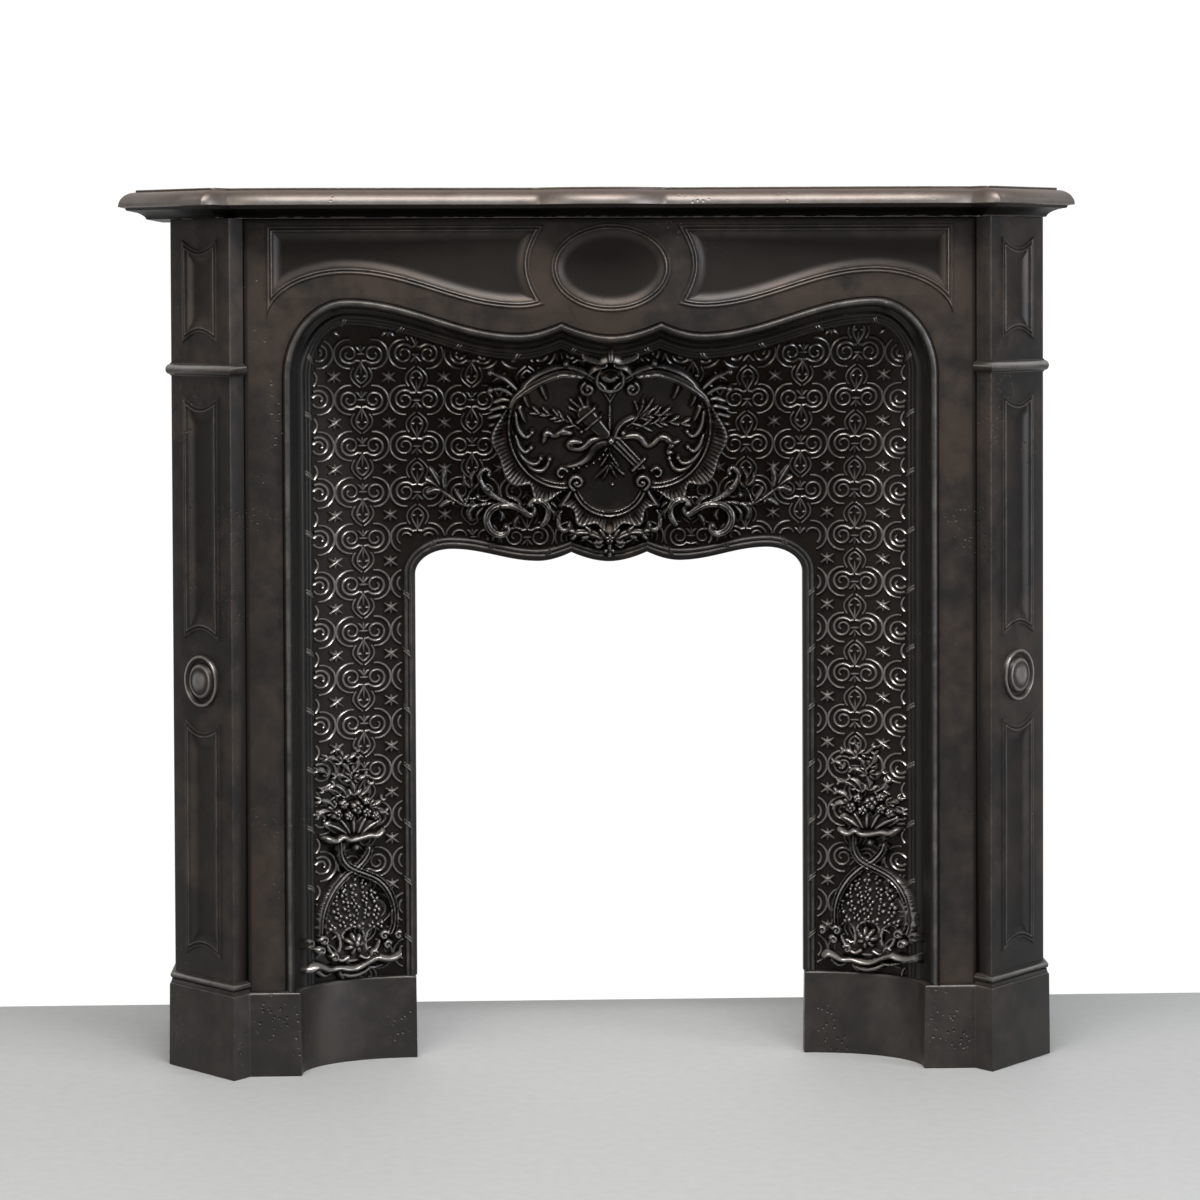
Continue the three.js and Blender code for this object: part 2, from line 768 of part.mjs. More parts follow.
const body = new THREE.Group();
body.position.x = shelfOffset;
body.add(
  casting('front_frame', frontGeometry(), 0x2e2a28),
  casting('insert', insertGeometry(), 0x262524),
  casting('pilaster_right', pilaster, 0x2f2a28),
  casting('pilaster_left', mirrored(pilaster), 0x2f2a28),
  casting('plinth_right', plinth, 0x2b2928),
  casting('plinth_left', mirrored(plinth), 0x2b2928),
);

const surround = new THREE.Group();
surround.add(body, casting('mantel_shelf', shelfGeometry(), 0x3a3431));
surround.position.y = shelfOverhang - shelfDepth / 2;

export default surround;
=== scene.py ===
import json
import bmesh
import bpy
import numpy as np
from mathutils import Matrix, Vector
from mathutils.geometry import tessellate_polygon

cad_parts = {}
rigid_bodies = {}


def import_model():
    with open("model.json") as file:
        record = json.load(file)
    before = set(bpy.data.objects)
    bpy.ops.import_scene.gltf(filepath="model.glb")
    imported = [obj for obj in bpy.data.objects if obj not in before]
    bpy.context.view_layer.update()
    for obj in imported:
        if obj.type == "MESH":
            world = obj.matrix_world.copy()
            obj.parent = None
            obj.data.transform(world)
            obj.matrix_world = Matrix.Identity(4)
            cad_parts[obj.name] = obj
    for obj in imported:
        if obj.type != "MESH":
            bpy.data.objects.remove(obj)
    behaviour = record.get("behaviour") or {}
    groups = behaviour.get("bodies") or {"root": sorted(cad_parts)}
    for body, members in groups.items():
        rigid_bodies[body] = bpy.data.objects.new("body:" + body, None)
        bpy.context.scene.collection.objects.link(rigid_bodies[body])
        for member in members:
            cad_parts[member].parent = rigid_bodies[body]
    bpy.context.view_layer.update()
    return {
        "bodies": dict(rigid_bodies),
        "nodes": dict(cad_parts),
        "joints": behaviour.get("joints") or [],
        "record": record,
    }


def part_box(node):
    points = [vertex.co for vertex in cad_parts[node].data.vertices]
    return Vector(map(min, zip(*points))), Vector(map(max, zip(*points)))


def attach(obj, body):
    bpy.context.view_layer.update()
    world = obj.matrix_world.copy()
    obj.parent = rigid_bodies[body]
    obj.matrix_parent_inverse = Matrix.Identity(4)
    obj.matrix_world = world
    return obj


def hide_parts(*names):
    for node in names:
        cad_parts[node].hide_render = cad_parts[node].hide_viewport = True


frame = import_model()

print("looks of a cast-iron fireplace surround")

# Sizes are in millimetres, and depths are counted back from the front corners of the pilasters
shelfHigh = np.array(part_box("mantel_shelf")[1]) * 1000
frontLow = np.array(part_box("front_frame")[0]) * 1000
frontHigh = np.array(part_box("front_frame")[1]) * 1000

castings = {"wall": 10, "gap": 0.3, "bodyDepth": 300, "returnDepth": 18, "coveDepth": 94, "cheekWidth": 149}
castings["middle"] = (frontLow[0] + frontHigh[0]) / 2
castings["frontY"] = shelfHigh[1] - castings["bodyDepth"]
castings["foot"] = frontLow[2]
castings["top"] = frontHigh[2]
castings["bandOuter"] = (frontHigh[0] - frontLow[0]) / 2 + castings["gap"]

openingArch = {
    "half": 246, "rise": 645, "cuspX": 48, "dipX": 89, "crestX": 200,
    "cuspDrop": 5, "dipDrop": 16, "middleDrop": 17, "cornerDrop": 32,
}
outerArch = {
    "half": 401, "rise": 957, "cuspX": 62, "dipX": 113, "crestX": 327,
    "cuspDrop": 30, "dipDrop": 43.5, "middleDrop": 46, "cornerDrop": 92,
}
bead = {"radius": 5.3, "lift": 6}


# Numbers, or arrays of them, side by side as places
def places(*axes):
    return np.stack(np.broadcast_arrays(*axes), -1)


# A line in plan at a height
def atHeight(line, height):
    return places(line[:, 0], line[:, 1], height)


# Places at angles round a middle
def aroundMiddle(x, z, reach, angle):
    return places(x + reach * np.cos(angle), z + reach * np.sin(angle))


# A line's points at places along it, which are counted in points or by the marks at its own points
def sampled(line, place, marks=None):
    marks = np.arange(len(line)) if marks is None else marks
    return places(*(np.interp(place, marks, axis) for axis in line.T))


# Closed shapes become one mesh for each casting

def newPiece():
    return {"points": [], "faces": [], "wear": [], "count": 0}


# Copies of one shape, each turned to face outwards by the sign of its volume
def addCopies(piece, copies, faces, wear=0.0):
    copies = np.asarray(copies, float)
    wear = np.broadcast_to(np.asarray(wear, float), copies.shape[:2])
    volume = np.zeros(len(copies))
    centred = copies - copies.mean(1, keepdims=True)
    for face in faces:
        first = centred[:, face[:, 0]]
        for corner in range(1, face.shape[1] - 1):
            turn = np.cross(centred[:, face[:, corner]], centred[:, face[:, corner + 1]])
            volume += (first * turn).sum((1, 2))
    for inward in (False, True):
        chosen = (volume < 0) == inward
        amount = int(chosen.sum())
        if not amount:
            continue
        shift = piece["count"] + np.arange(amount)[:, None, None] * copies.shape[1]
        for face in faces:
            turned = face[:, ::-1] if inward else face
            piece["faces"].append((turned[None] + shift).reshape(-1, face.shape[1]))
        piece["points"].append(copies[chosen].reshape(-1, 3))
        piece["wear"].append(wear[chosen].ravel())
        piece["count"] += amount * copies.shape[1]


def addShape(piece, points, faces, wear=0.0):
    points = np.asarray(points, float).reshape(1, -1, 3)
    wear = np.broadcast_to(np.asarray(wear, float).ravel(), points.shape[1:2])
    addCopies(piece, points, faces, wear[None])


# Quads between the neighbours in a grid of point numbers
def gridFaces(ids):
    return np.stack([ids[:-1, :-1], ids[:-1, 1:], ids[1:, 1:], ids[1:, :-1]], -1).reshape(-1, 4)


# Rows of points joined by quads, either left open or closed round each row
def addSheet(piece, rows, wear=0.0, closed=True):
    rows = np.asarray(rows, float)
    count, columns = rows.shape[:2]
    ids = piece["count"] + np.arange(count * columns).reshape(count, columns)
    if closed:
        ids = np.hstack([ids, ids[:, :1]])
    piece["points"].append(rows.reshape(-1, 3))
    piece["faces"].append(gridFaces(ids))
    wear = np.broadcast_to(np.asarray(wear, float).reshape(-1, 1), (count, columns))
    piece["wear"].append(wear.ravel())
    piece["count"] += count * columns


# A flat face between an outline and the outlines of its holes
def addFlat(piece, loops, wear=0.0):
    flat = np.vstack(loops)
    triangles = np.array(tessellate_polygon([[tuple(point) for point in loop] for loop in loops]))
    piece["points"].append(flat)
    piece["faces"].append(triangles + piece["count"])
    piece["wear"].append(np.full(len(flat), float(wear)))
    piece["count"] += len(flat)


# Sheets that share their edges become one closed skin, with its faces outward
def weld(mesh):
    skin = bmesh.new()
    skin.from_mesh(mesh)
    bmesh.ops.remove_doubles(skin, verts=skin.verts, dist=1e-6)
    bmesh.ops.recalc_face_normals(skin, faces=skin.faces)
    skin.to_mesh(mesh)
    skin.free()


# Edges that turn by more than this many degrees are shaded sharp
sharpAngles = {"shell": 38, "pattern": 60, "carving": 75, "plate": 50, "moulded": 42}


# The piece as a mesh in the frame's metres, where it stands for its CAD node
def finishPiece(piece, name, nodes, material, sharpAngle, welded=False):
    points = np.concatenate(piece["points"]) + [castings["middle"], castings["frontY"], 0]
    corners = np.concatenate([face.ravel() for face in piece["faces"]])
    sizes = np.concatenate([np.full(len(face), face.shape[1]) for face in piece["faces"]])
    mesh = bpy.data.meshes.new(name)
    mesh.vertices.add(len(points))
    mesh.vertices.foreach_set("co", (points / 1000).astype(np.float32).ravel())
    mesh.loops.add(len(corners))
    mesh.loops.foreach_set("vertex_index", corners.astype(np.int32))
    mesh.polygons.add(len(sizes))
    mesh.polygons.foreach_set("loop_start", (np.cumsum(sizes) - sizes).astype(np.int32))
    mesh.update(calc_edges=True)
    # The wear-and-shade value: rubbed wear where positive, painted shade and painted shadow where negative
    mesh.attributes.new("wear", "FLOAT", "POINT").data.foreach_set(
        "value", np.concatenate(piece["wear"]).astype(np.float32))
    if welded:
        weld(mesh)
    mesh.shade_smooth()
    mesh.set_sharp_from_angle(angle=np.radians(sharpAngle))
    mesh.materials.append(material)
    casting = bpy.data.objects.new(name, mesh)
    bpy.context.scene.collection.objects.link(casting)
    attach(casting, "root")
    if nodes:
        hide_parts(*nodes)
    print(name, (sizes - 2).sum(), "triangles")


# Faces of a skin over closed rings, capped flat at both ends
def loftFaces(rows, columns):
    ids = np.arange(rows * columns).reshape(rows, columns)
    return [gridFaces(np.hstack([ids, ids[:, :1]])), ids[:1, ::-1], ids[-1:]]


# Lines

def ease(share):
    return (1 - np.cos(np.pi * np.clip(share, 0, 1))) / 2


# Drop of a cusped arch: two powers round its middle, then half a cosine up to the crest
def archDrop(arch, x):
    away = np.abs(x)
    middle = -arch["middleDrop"] + (arch["middleDrop"] - arch["cuspDrop"]) * (away / arch["cuspX"]) ** 1.8
    share = np.clip((arch["dipX"] - away) / (arch["dipX"] - arch["cuspX"]), 0, 1)
    dip = -arch["dipDrop"] + (arch["dipDrop"] - arch["cuspDrop"]) * share ** 1.8
    rise = -arch["dipDrop"] * (1 - ease((away - arch["dipX"]) / (arch["crestX"] - arch["dipX"])))
    return np.where(away < arch["cuspX"], middle, np.where(away < arch["dipX"], dip, rise))


# An open line moved to the left of its direction of travel, with mitred corners
def sidestep(line, distance, closed=False):
    line = np.asarray(line, float)
    steps = np.diff(np.vstack([line, line[:1]]) if closed else line, axis=0)
    normals = places(-steps[:, 1], steps[:, 0]) / np.linalg.norm(steps, axis=1, keepdims=True)
    before = np.roll(normals, 1, 0) if closed else np.vstack([normals[:1], normals])
    after = normals if closed else np.vstack([normals, normals[-1:]])
    middle = before + after
    middle /= np.linalg.norm(middle, axis=1, keepdims=True)
    return line + middle * (distance / (middle * after).sum(1, keepdims=True).clip(0.35))


# A line through a few points, its corners cut three times over
def smoothed(points, rounds=3):
    line = np.array(points, float)
    for _ in range(rounds):
        near, far = line[:-1] * 0.75 + line[1:] * 0.25, line[:-1] * 0.25 + line[1:] * 0.75
        line = np.vstack([line[:1], np.stack([near, far], 1).reshape(-1, 2), line[-1:]])
    return line


# A spiral that winds in from its start, its reach shrinking with each turn
def spiral(x, z, radius, startDegrees, turns, count=26, inner=0.22):
    share = np.linspace(0, 1, count)
    angle = np.radians(startDegrees) + 2 * np.pi * turns * share
    reach = radius * (1 - (1 - inner) * share)
    return aroundMiddle(x, z, reach, angle)


# A line drawn for the right, on the side asked for: 1 right, -1 left
def swung(line, side):
    return np.asarray(line, float) * [side, 1]


# The left half of a line that starts in the middle, followed by its right half
def mirrored(right):
    return np.vstack([swung(right[:0:-1], -1), right])


# A root, a tip and the place between them, moved by a shift
def bent(root, tip, shift):
    root, tip = np.array(root, float), np.array(tip, float)
    return np.array([root, (root + tip) / 2 + shift, tip])


stations = {"leg": 90, "corner": 24, "slope": 60, "cusp": 18, "middle": 22}


# The arch from its left foot to its right foot, set in by a distance, with a fixed number of points
def archLine(arch, inset, foot):
    half, rise = arch["half"] - inset, arch["rise"] - inset
    runs = [
        np.linspace(0, arch["cuspX"], stations["middle"] + 1),
        np.linspace(arch["cuspX"], arch["dipX"], stations["cusp"] + 1)[1:],
        np.linspace(arch["dipX"], arch["crestX"], stations["slope"] + 1)[1:],
    ]
    headX = np.concatenate(runs)
    head = places(headX, rise + archDrop(arch, headX))
    angle = np.linspace(0, np.pi / 2, stations["corner"] + 1)[1:]
    drop = arch["cornerDrop"] - inset
    cornerX = arch["crestX"] + (half - arch["crestX"]) * np.sin(angle)
    corner = places(cornerX, rise - drop * (1 - np.cos(angle)))
    leg = places(half, np.linspace(corner[-1, 1], foot, stations["leg"] + 1)[1:])
    return mirrored(np.vstack([head, corner, leg]))


# Depth of the cove: a quarter ellipse on the cheeks and in the crown, whichever reaches further
def coveAt(x, z):
    crownFoot = openingArch["rise"] - openingArch["dipDrop"]
    across = np.maximum(0, np.abs(x) - openingArch["half"]) / castings["cheekWidth"]
    crownTop = outerArch["rise"] + archDrop(outerArch, x) - bead["radius"]
    up = np.maximum(0, z - crownFoot) / (crownTop - crownFoot)
    reach = np.minimum(0.99, (across ** 8 + up ** 8) ** (1 / 8))
    deepest = castings["returnDepth"] + castings["coveDepth"]
    return deepest - castings["coveDepth"] * (1 - np.sqrt(1 - reach ** 2))


# Points a height off the cove, square to it
def onCove(x, z, height):
    step = 0.5
    depth = coveAt(x, z)
    slopeX = (coveAt(x + step, z) - coveAt(x - step, z)) / (2 * step)
    slopeZ = (coveAt(x, z + step) - coveAt(x, z - step)) / (2 * step)
    scale = height / np.sqrt(slopeX ** 2 + slopeZ ** 2 + 1)
    return places(x + slopeX * scale, depth - scale, z + slopeZ * scale)


# Materials

class Socket:
    # A shader value; sums, differences and products of it add Math nodes

    def __init__(self, shader, link):
        self.shader = shader
        self.link = link

    def maths(self, operation, *values):
        return self.shader.node("ShaderNodeMath", {"operation": operation}, values)

    def __add__(self, other):
        return self.maths("ADD", self, other)

    def __radd__(self, other):
        return self.maths("ADD", other, self)

    def __sub__(self, other):
        return self.maths("SUBTRACT", self, other)

    def __rsub__(self, other):
        return self.maths("SUBTRACT", other, self)

    def __mul__(self, other):
        return self.maths("MULTIPLY", self, other)

    def __rmul__(self, other):
        return self.maths("MULTIPLY", other, self)


class Shader:
    # A material's node tree, with one method for every node

    def __init__(self, name):
        self.material = bpy.data.materials.new(name)
        self.material.use_nodes = True
        self.tree = self.material.node_tree
        self.principled = self.tree.nodes["Principled BSDF"]
        self.place = self.node("ShaderNodeTexCoord", {}, {}, "Object")

    def put(self, socket, value):
        if isinstance(value, Socket):
            self.tree.links.new(value.link, socket)
        elif isinstance(value, tuple) and socket.type == "RGBA":
            socket.default_value = (*value, 1)
        else:
            socket.default_value = value

    def node(self, kind, settings, values, output=0):
        made = self.tree.nodes.new(kind)
        for setting, value in settings.items():
            setattr(made, setting, value)
        pairs = values.items() if isinstance(values, dict) else enumerate(values)
        for socket, value in pairs:
            self.put(made.inputs[socket], value)
        return Socket(self, made.outputs[output])

    def noise(self, scale, detail, roughness):
        values = {"Vector": self.place, "Scale": scale, "Detail": detail, "Roughness": roughness}
        return self.node("ShaderNodeTexNoise", {}, values)

    def pits(self, scale):
        values = {"Vector": self.place, "Scale": scale}
        return self.node("ShaderNodeTexVoronoi", {"feature": "F1"}, values)

    # A value's share of the way from low to high, held between 0 and 1
    def between(self, value, low, high):
        values = {"Value": value, "From Min": low, "From Max": high}
        return self.node("ShaderNodeMapRange", {"interpolation_type": "SMOOTHSTEP"}, values)

    # One round a place, out to the first distance, and falling to nothing at the second
    def near(self, place, full, reach):
        ends = {0: self.place, 1: place}
        away = self.node("ShaderNodeVectorMath", {"operation": "DISTANCE"}, ends, "Value")
        return self.between(away, reach, full)

    def blend(self, share, first, second):
        made = self.tree.nodes.new("ShaderNodeMix")
        made.data_type = "RGBA"
        self.put(made.inputs[0], share)
        self.put(made.inputs[6], first)
        self.put(made.inputs[7], second)
        return Socket(self, made.outputs[2])

    def attribute(self, name):
        return self.node("ShaderNodeAttribute", {"attribute_name": name}, {}, "Fac")

    def bump(self, height, strength, distance, below=None):
        values = {"Height": height, "Strength": strength, "Distance": distance}
        if below:
            values["Normal"] = below
        return self.node("ShaderNodeBump", {}, values)

    def surface(self, **values):
        for socket, value in values.items():
            self.put(self.principled.inputs[socket.replace("_", " ")], value)
        return self.material


ironLooks = {
    "black": (0.021, 0.0195, 0.0185),
    "brown": (0.054, 0.040, 0.032),
    # Painted shade: the dull brown given to recesses, hollows and sunk fields
    "paintedShade": (0.011, 0.0075, 0.0055),
    # Painted shadow: the near black of the deepest gaps and of the hollow under the shelf's rim
    "deep": (0.003, 0.0025, 0.002),
    "rubbed": (0.20, 0.19, 0.18),
    "metallic": 0.55,
    "polished": 0.30,
    "dull": 0.44,
    "dusty": 0.56,
    "grainScale": 900,
    "grainDepth": 0.00012,
    "pitScale": 150,
    "pitDepth": 0.0006,
    "grainNoise": (3, 0.6),
    "cloudNoise": (7, 5, 0.6),
    "stainNoise": (38, 6, 0.65),
    "patchNoise": (11, 2, 0.5),
    "stainRoughness": 0.22,
    "rough": [],
    "roughPits": 1.6,
    # Painted shade over the crown, under the shelf and the arch: its strength, then its place, full reach and
    # outer reach
    "crownShade": 0.0,
    "crownShadePlace": ((0.013, -0.07, 0.82), 0.18, 0.44),
}


# Polished iron: black over brown, rubbed bright where the wear is high, and painted shade, dull, brown and at
# last black, where the value is negative; rough places and the painted shade over the crown are each a place,
# a full and an outer reach
def ironMaterial(name, brownShare, rubbedShare=1.0, pitting=1.0, looks=ironLooks):
    shader = Shader(name)
    wear = shader.attribute("wear")
    cloud = shader.noise(*looks["cloudNoise"])
    stain = shader.noise(*looks["stainNoise"])
    grain = shader.noise(looks["grainScale"], *looks["grainNoise"])
    clouds = cloud * 0.65 + stain * 0.35
    brownness = shader.between(clouds, 0.62 - 0.4 * brownShare, 0.86 - 0.4 * brownShare)
    base = shader.blend(brownness, looks["black"], looks["brown"])
    rubbed = shader.between(wear + (stain - 0.5) * 0.5, 0.35, 1.0) * rubbedShare
    # Painted shade: where the wear-and-shade value is negative the colour goes dull brown
    paintedShade = shader.between(wear * -1, 0.0, 0.9)
    # Painted shade over the crown: darker, more metallic, and with dimmer rubbed ridges
    crownShadeMask = shader.near(*looks["crownShadePlace"]) * looks["crownShade"]
    rubbed = rubbed * (1 - 0.45 * crownShadeMask)
    # Painted shadow: below about -1 the colour turns near black and more metallic, for gaps and the hollow
    # under the shelf
    deep = shader.between(wear * -1, 0.95, 1.7)
    color = shader.blend(rubbed, shader.blend(paintedShade, base, looks["paintedShade"]), looks["rubbed"])
    color = shader.blend(deep, color, looks["deep"])
    roughness = looks["dull"] + (looks["dusty"] - looks["dull"]) * paintedShade
    roughness = roughness - (looks["dull"] - looks["polished"]) * rubbed
    roughness = roughness + (stain - 0.5) * looks["stainRoughness"]
    patches = shader.between(shader.noise(*looks["patchNoise"]), 0.56, 0.72)
    for place, full, reach in looks["rough"]:
        patches = patches + shader.near(place, full, reach) * looks["roughPits"]
    pits = 1 - shader.between(shader.pits(looks["pitScale"]), 0.05, 0.32)
    grainBump = shader.bump(grain, 0.55, looks["grainDepth"])
    pitBump = shader.bump(1 - pits * patches * pitting, 1.0, looks["pitDepth"], grainBump)
    metallic = looks["metallic"] + 0.3 * crownShadeMask + 0.4 * deep
    return shader.surface(Base_Color=color, Roughness=roughness, Metallic=metallic, Normal=pitBump)


insertLooks = dict(ironLooks, metallic=0.66, rubbed=(0.25, 0.238, 0.225), crownShade=1.0)
insertIron = ironMaterial("cast iron, black", 0.30, looks=insertLooks)
# The rough repair beside the left bead, from the top down
repair = [
    ((-0.397, -0.110, 0.855), 0.004, 0.024), ((-0.397, -0.110, 0.822), 0.004, 0.026),
    ((-0.397, -0.110, 0.790), 0.004, 0.022), ((-0.428, -0.110, 0.984), 0.003, 0.022),
    ((-0.418, -0.110, 0.739), 0.002, 0.014),
]
frontLooks = dict(ironLooks, rough=repair)
frontIron = ironMaterial("cast iron, brown black", 0.62, looks=frontLooks)
pilasterIron = ironMaterial("cast iron, pilasters", 0.5)
plinthLooks = dict(
    ironLooks, black=(0.030, 0.028, 0.0265), brown=(0.058, 0.048, 0.042), pitScale=140, pitDepth=0.001,
    rough=[((-0.407, -0.118, 0.075), 0.012, 0.034), ((0.434, -0.118, 0.045), 0.004, 0.042)])
plinthIron = ironMaterial("cast iron, plinths", 0.5, 0.75, 1.6, plinthLooks)
shelfLooks = dict(
    ironLooks, black=(0.036, 0.031, 0.028), brown=(0.085, 0.064, 0.053), polished=0.36, dull=0.46)
shelfIron = ironMaterial("cast iron, shelf", 0.95, 0.8, 1.0, shelfLooks)
print("materials made")


# Insert: a bead, a groove and a reeded border, the cove, and a reeded edge round the fire opening

insertSizes = {
    "borderStart": 7, "borderEnd": 21.5, "borderLift": 4.5, "reeds": 3, "reedDepth": 0.9,
    "edgeWidth": 16, "edgeLift": 5, "fieldRows": 34,
}


# Reeds between two insets, on a low band with rounded shoulders: insets and lifts
def reededProfile(start, end, lift, reeds, reedDepth, count=27):
    share = np.linspace(0, 1, count)
    shoulder = np.minimum(1, np.minimum(share, 1 - share) / 0.09) ** 0.6
    reed = np.abs(np.sin(np.pi * reeds * (share - 0.09) / 0.82)) * reedDepth
    return start + (end - start) * share, shoulder * (lift - reedDepth) + np.where(shoulder >= 1, reed, 0)


# Rows run from the bead over the cove to the opening's edge, and back behind it by the thickness
def insertShell(piece):
    sizes = insertSizes
    foot = castings["foot"]
    rows, wear = [], []

    def flatRow(inset, depth, wearAndShadeLevel):
        line = archLine(outerArch, inset, foot)
        rows.append(places(line[:, 0], depth, line[:, 1]))
        wear.append(wearAndShadeLevel)

    def coveRow(line, height, wearAndShadeLevel):
        rows.append(onCove(*line.T, height))
        wear.append(wearAndShadeLevel)

    radius = bead["radius"]
    flatRow(-radius - 6, castings["returnDepth"] + castings["wall"] + 1, 0)
    flatRow(-radius, castings["returnDepth"] + radius, 0)
    for angle in np.linspace(0, np.pi, 13):
        depth = castings["returnDepth"] - bead["lift"] * np.sin(angle)
        flatRow(-radius * np.cos(angle), depth, 0.62 * np.sin(angle) ** 3)
    flatRow(radius + 0.3, castings["returnDepth"] + 4, 0)
    coveRow(archLine(outerArch, radius + 1.5, foot), -1.5, 0)
    start, end = radius + sizes["borderStart"], radius + sizes["borderEnd"]
    coveRow(archLine(outerArch, start - 1.5, foot), -0.5, 0)
    insets, lifts = reededProfile(start, end, sizes["borderLift"], sizes["reeds"], sizes["reedDepth"])
    for inset, lift in zip(insets, lifts):
        coveRow(archLine(outerArch, inset, foot), lift, 0.35 * (lift > sizes["borderLift"] - 0.4))
    inner = archLine(outerArch, end + 1, foot)
    edge = archLine(openingArch, -sizes["edgeWidth"] - 1, foot)
    # The ground of the field between the borders carries painted shade
    for share in np.linspace(0, 1, sizes["fieldRows"]):
        coveRow(inner * (1 - share) + edge * share, 0, -0.85)
    insets, lifts = reededProfile(-sizes["edgeWidth"], -2, sizes["edgeLift"], 2, 1.6)
    for inset, lift in zip(insets[:-6], lifts[:-6]):
        coveRow(archLine(openingArch, inset, foot), lift, 0.5 * (lift > sizes["edgeLift"] - 0.6))
    for angle in np.linspace(0, np.pi / 2, 6):
        coveRow(archLine(openingArch, -4 + 4 * np.sin(angle), foot), 4.4 * np.cos(angle) - 0.5, 0.0)
    back = -castings["wall"]
    coveRow(archLine(openingArch, 0, foot), back, 0)
    for share in (1, 0.75, 0.5, 0.25, 0):
        coveRow(inner * (1 - share) + edge * share, back, 0)
    coveRow(archLine(outerArch, radius + 8, foot), back, 0)
    rings = np.stack(rows, 1)
    addShape(piece, rings, loftFaces(*rings.shape[:2]), np.tile(wear, len(rings)))


roundSection = np.array([[-1, -0.4], [-0.6, 0.66], [0, 1], [0.6, 0.66], [1, -0.4]])


# Ridges on the cove: each line is widened to its sides and raised by a five-point rounded section
def coveRidges(piece, lines, widths, heights, wearAndShadeLevel=1.0):
    lines = np.asarray(lines, float)
    widths = np.broadcast_to(widths, lines.shape[:2])
    heights = np.broadcast_to(heights, lines.shape[:2])
    travel = np.gradient(lines, axis=1)
    side = places(-travel[..., 1], travel[..., 0])
    side /= np.linalg.norm(side, axis=-1, keepdims=True) + 1e-9
    across = widths[..., None] * roundSection[:, 0]
    x = lines[..., None, 0] + side[..., None, 0] * across
    z = lines[..., None, 1] + side[..., None, 1] * across
    points = onCove(x, z, heights[..., None] * roundSection[:, 1])
    count, rows, columns = points.shape[:3]
    # Rubbed on the crest, with a little painted shade at the feet of each ridge
    wear = np.clip(heights[..., None] / (np.abs(heights).max() + 1e-9), 0, 1) * roundSection[:, 1] * wearAndShadeLevel
    faces = loftFaces(rows, columns)
    addCopies(piece, points.reshape(count, -1, 3), faces, wear.reshape(count, -1))


# Slanted turns of ribbon tied round the border and round the edge of the opening
ties = {"pitch": 74, "edgePitch": 72.7, "width": 2.5, "height": 8, "slant": 11, "apart": 3.6, "wearAndShadeLevel": 1.4}


# Two strands to a tie, each from the outer to the inner edge, with their middles high
def borderTies(piece):
    start, end = bead["radius"] + insertSizes["borderStart"], bead["radius"] + insertSizes["borderEnd"]
    runs = [
        (outerArch, start + 3, end + 0.5, ties["pitch"], 1),
        (openingArch, -3.5, -insertSizes["edgeWidth"] - 0.5, ties["edgePitch"], -1),
    ]
    for arch, outerInset, innerInset, pitch, lean in runs:
        outer = archLine(arch, outerInset, castings["foot"])
        inner = archLine(arch, innerInset, castings["foot"])
        right = slice(len(outer) // 2, None)
        outer, inner = outer[right], inner[right]
        along = np.concatenate([[0], np.cumsum(np.linalg.norm(np.diff(outer, axis=0), axis=1))])
        tieAt = np.arange(along[-1] - 45, 30, -pitch)
        for strand, shift in enumerate((0, ties["apart"])):
            share = np.linspace(0, 1, 9)
            travel = tieAt[:, None] - shift + lean * ties["slant"] * (share - 0.5)
            lines = sampled(outer, travel, along) * (1 - share[:, None])
            lines += sampled(inner, travel, along) * share[:, None]
            swell = np.sin(np.pi * np.clip(share * 0.96 + 0.02, 0, 1)) ** 0.5
            height = (ties["height"] - 1.2 * strand) * swell - 1
            width = ties["width"] * (0.6 + 0.4 * swell)
            for side in (1, -1):
                coveRidges(piece, swung(lines, side), width, height, ties["wearAndShadeLevel"])


# Diaper: columns of paired scrolls with stars between them, upright and upside down in turn
diaper = {
    "pitchX": 69.3, "pitchZ": 58.6, "firstRow": 249.7, "rows": 12, "scrollX": 15.4,
    "curl": 11.5, "ring": 18.5, "width": 2.2, "height": 3.3, "starArm": 9.8,
}


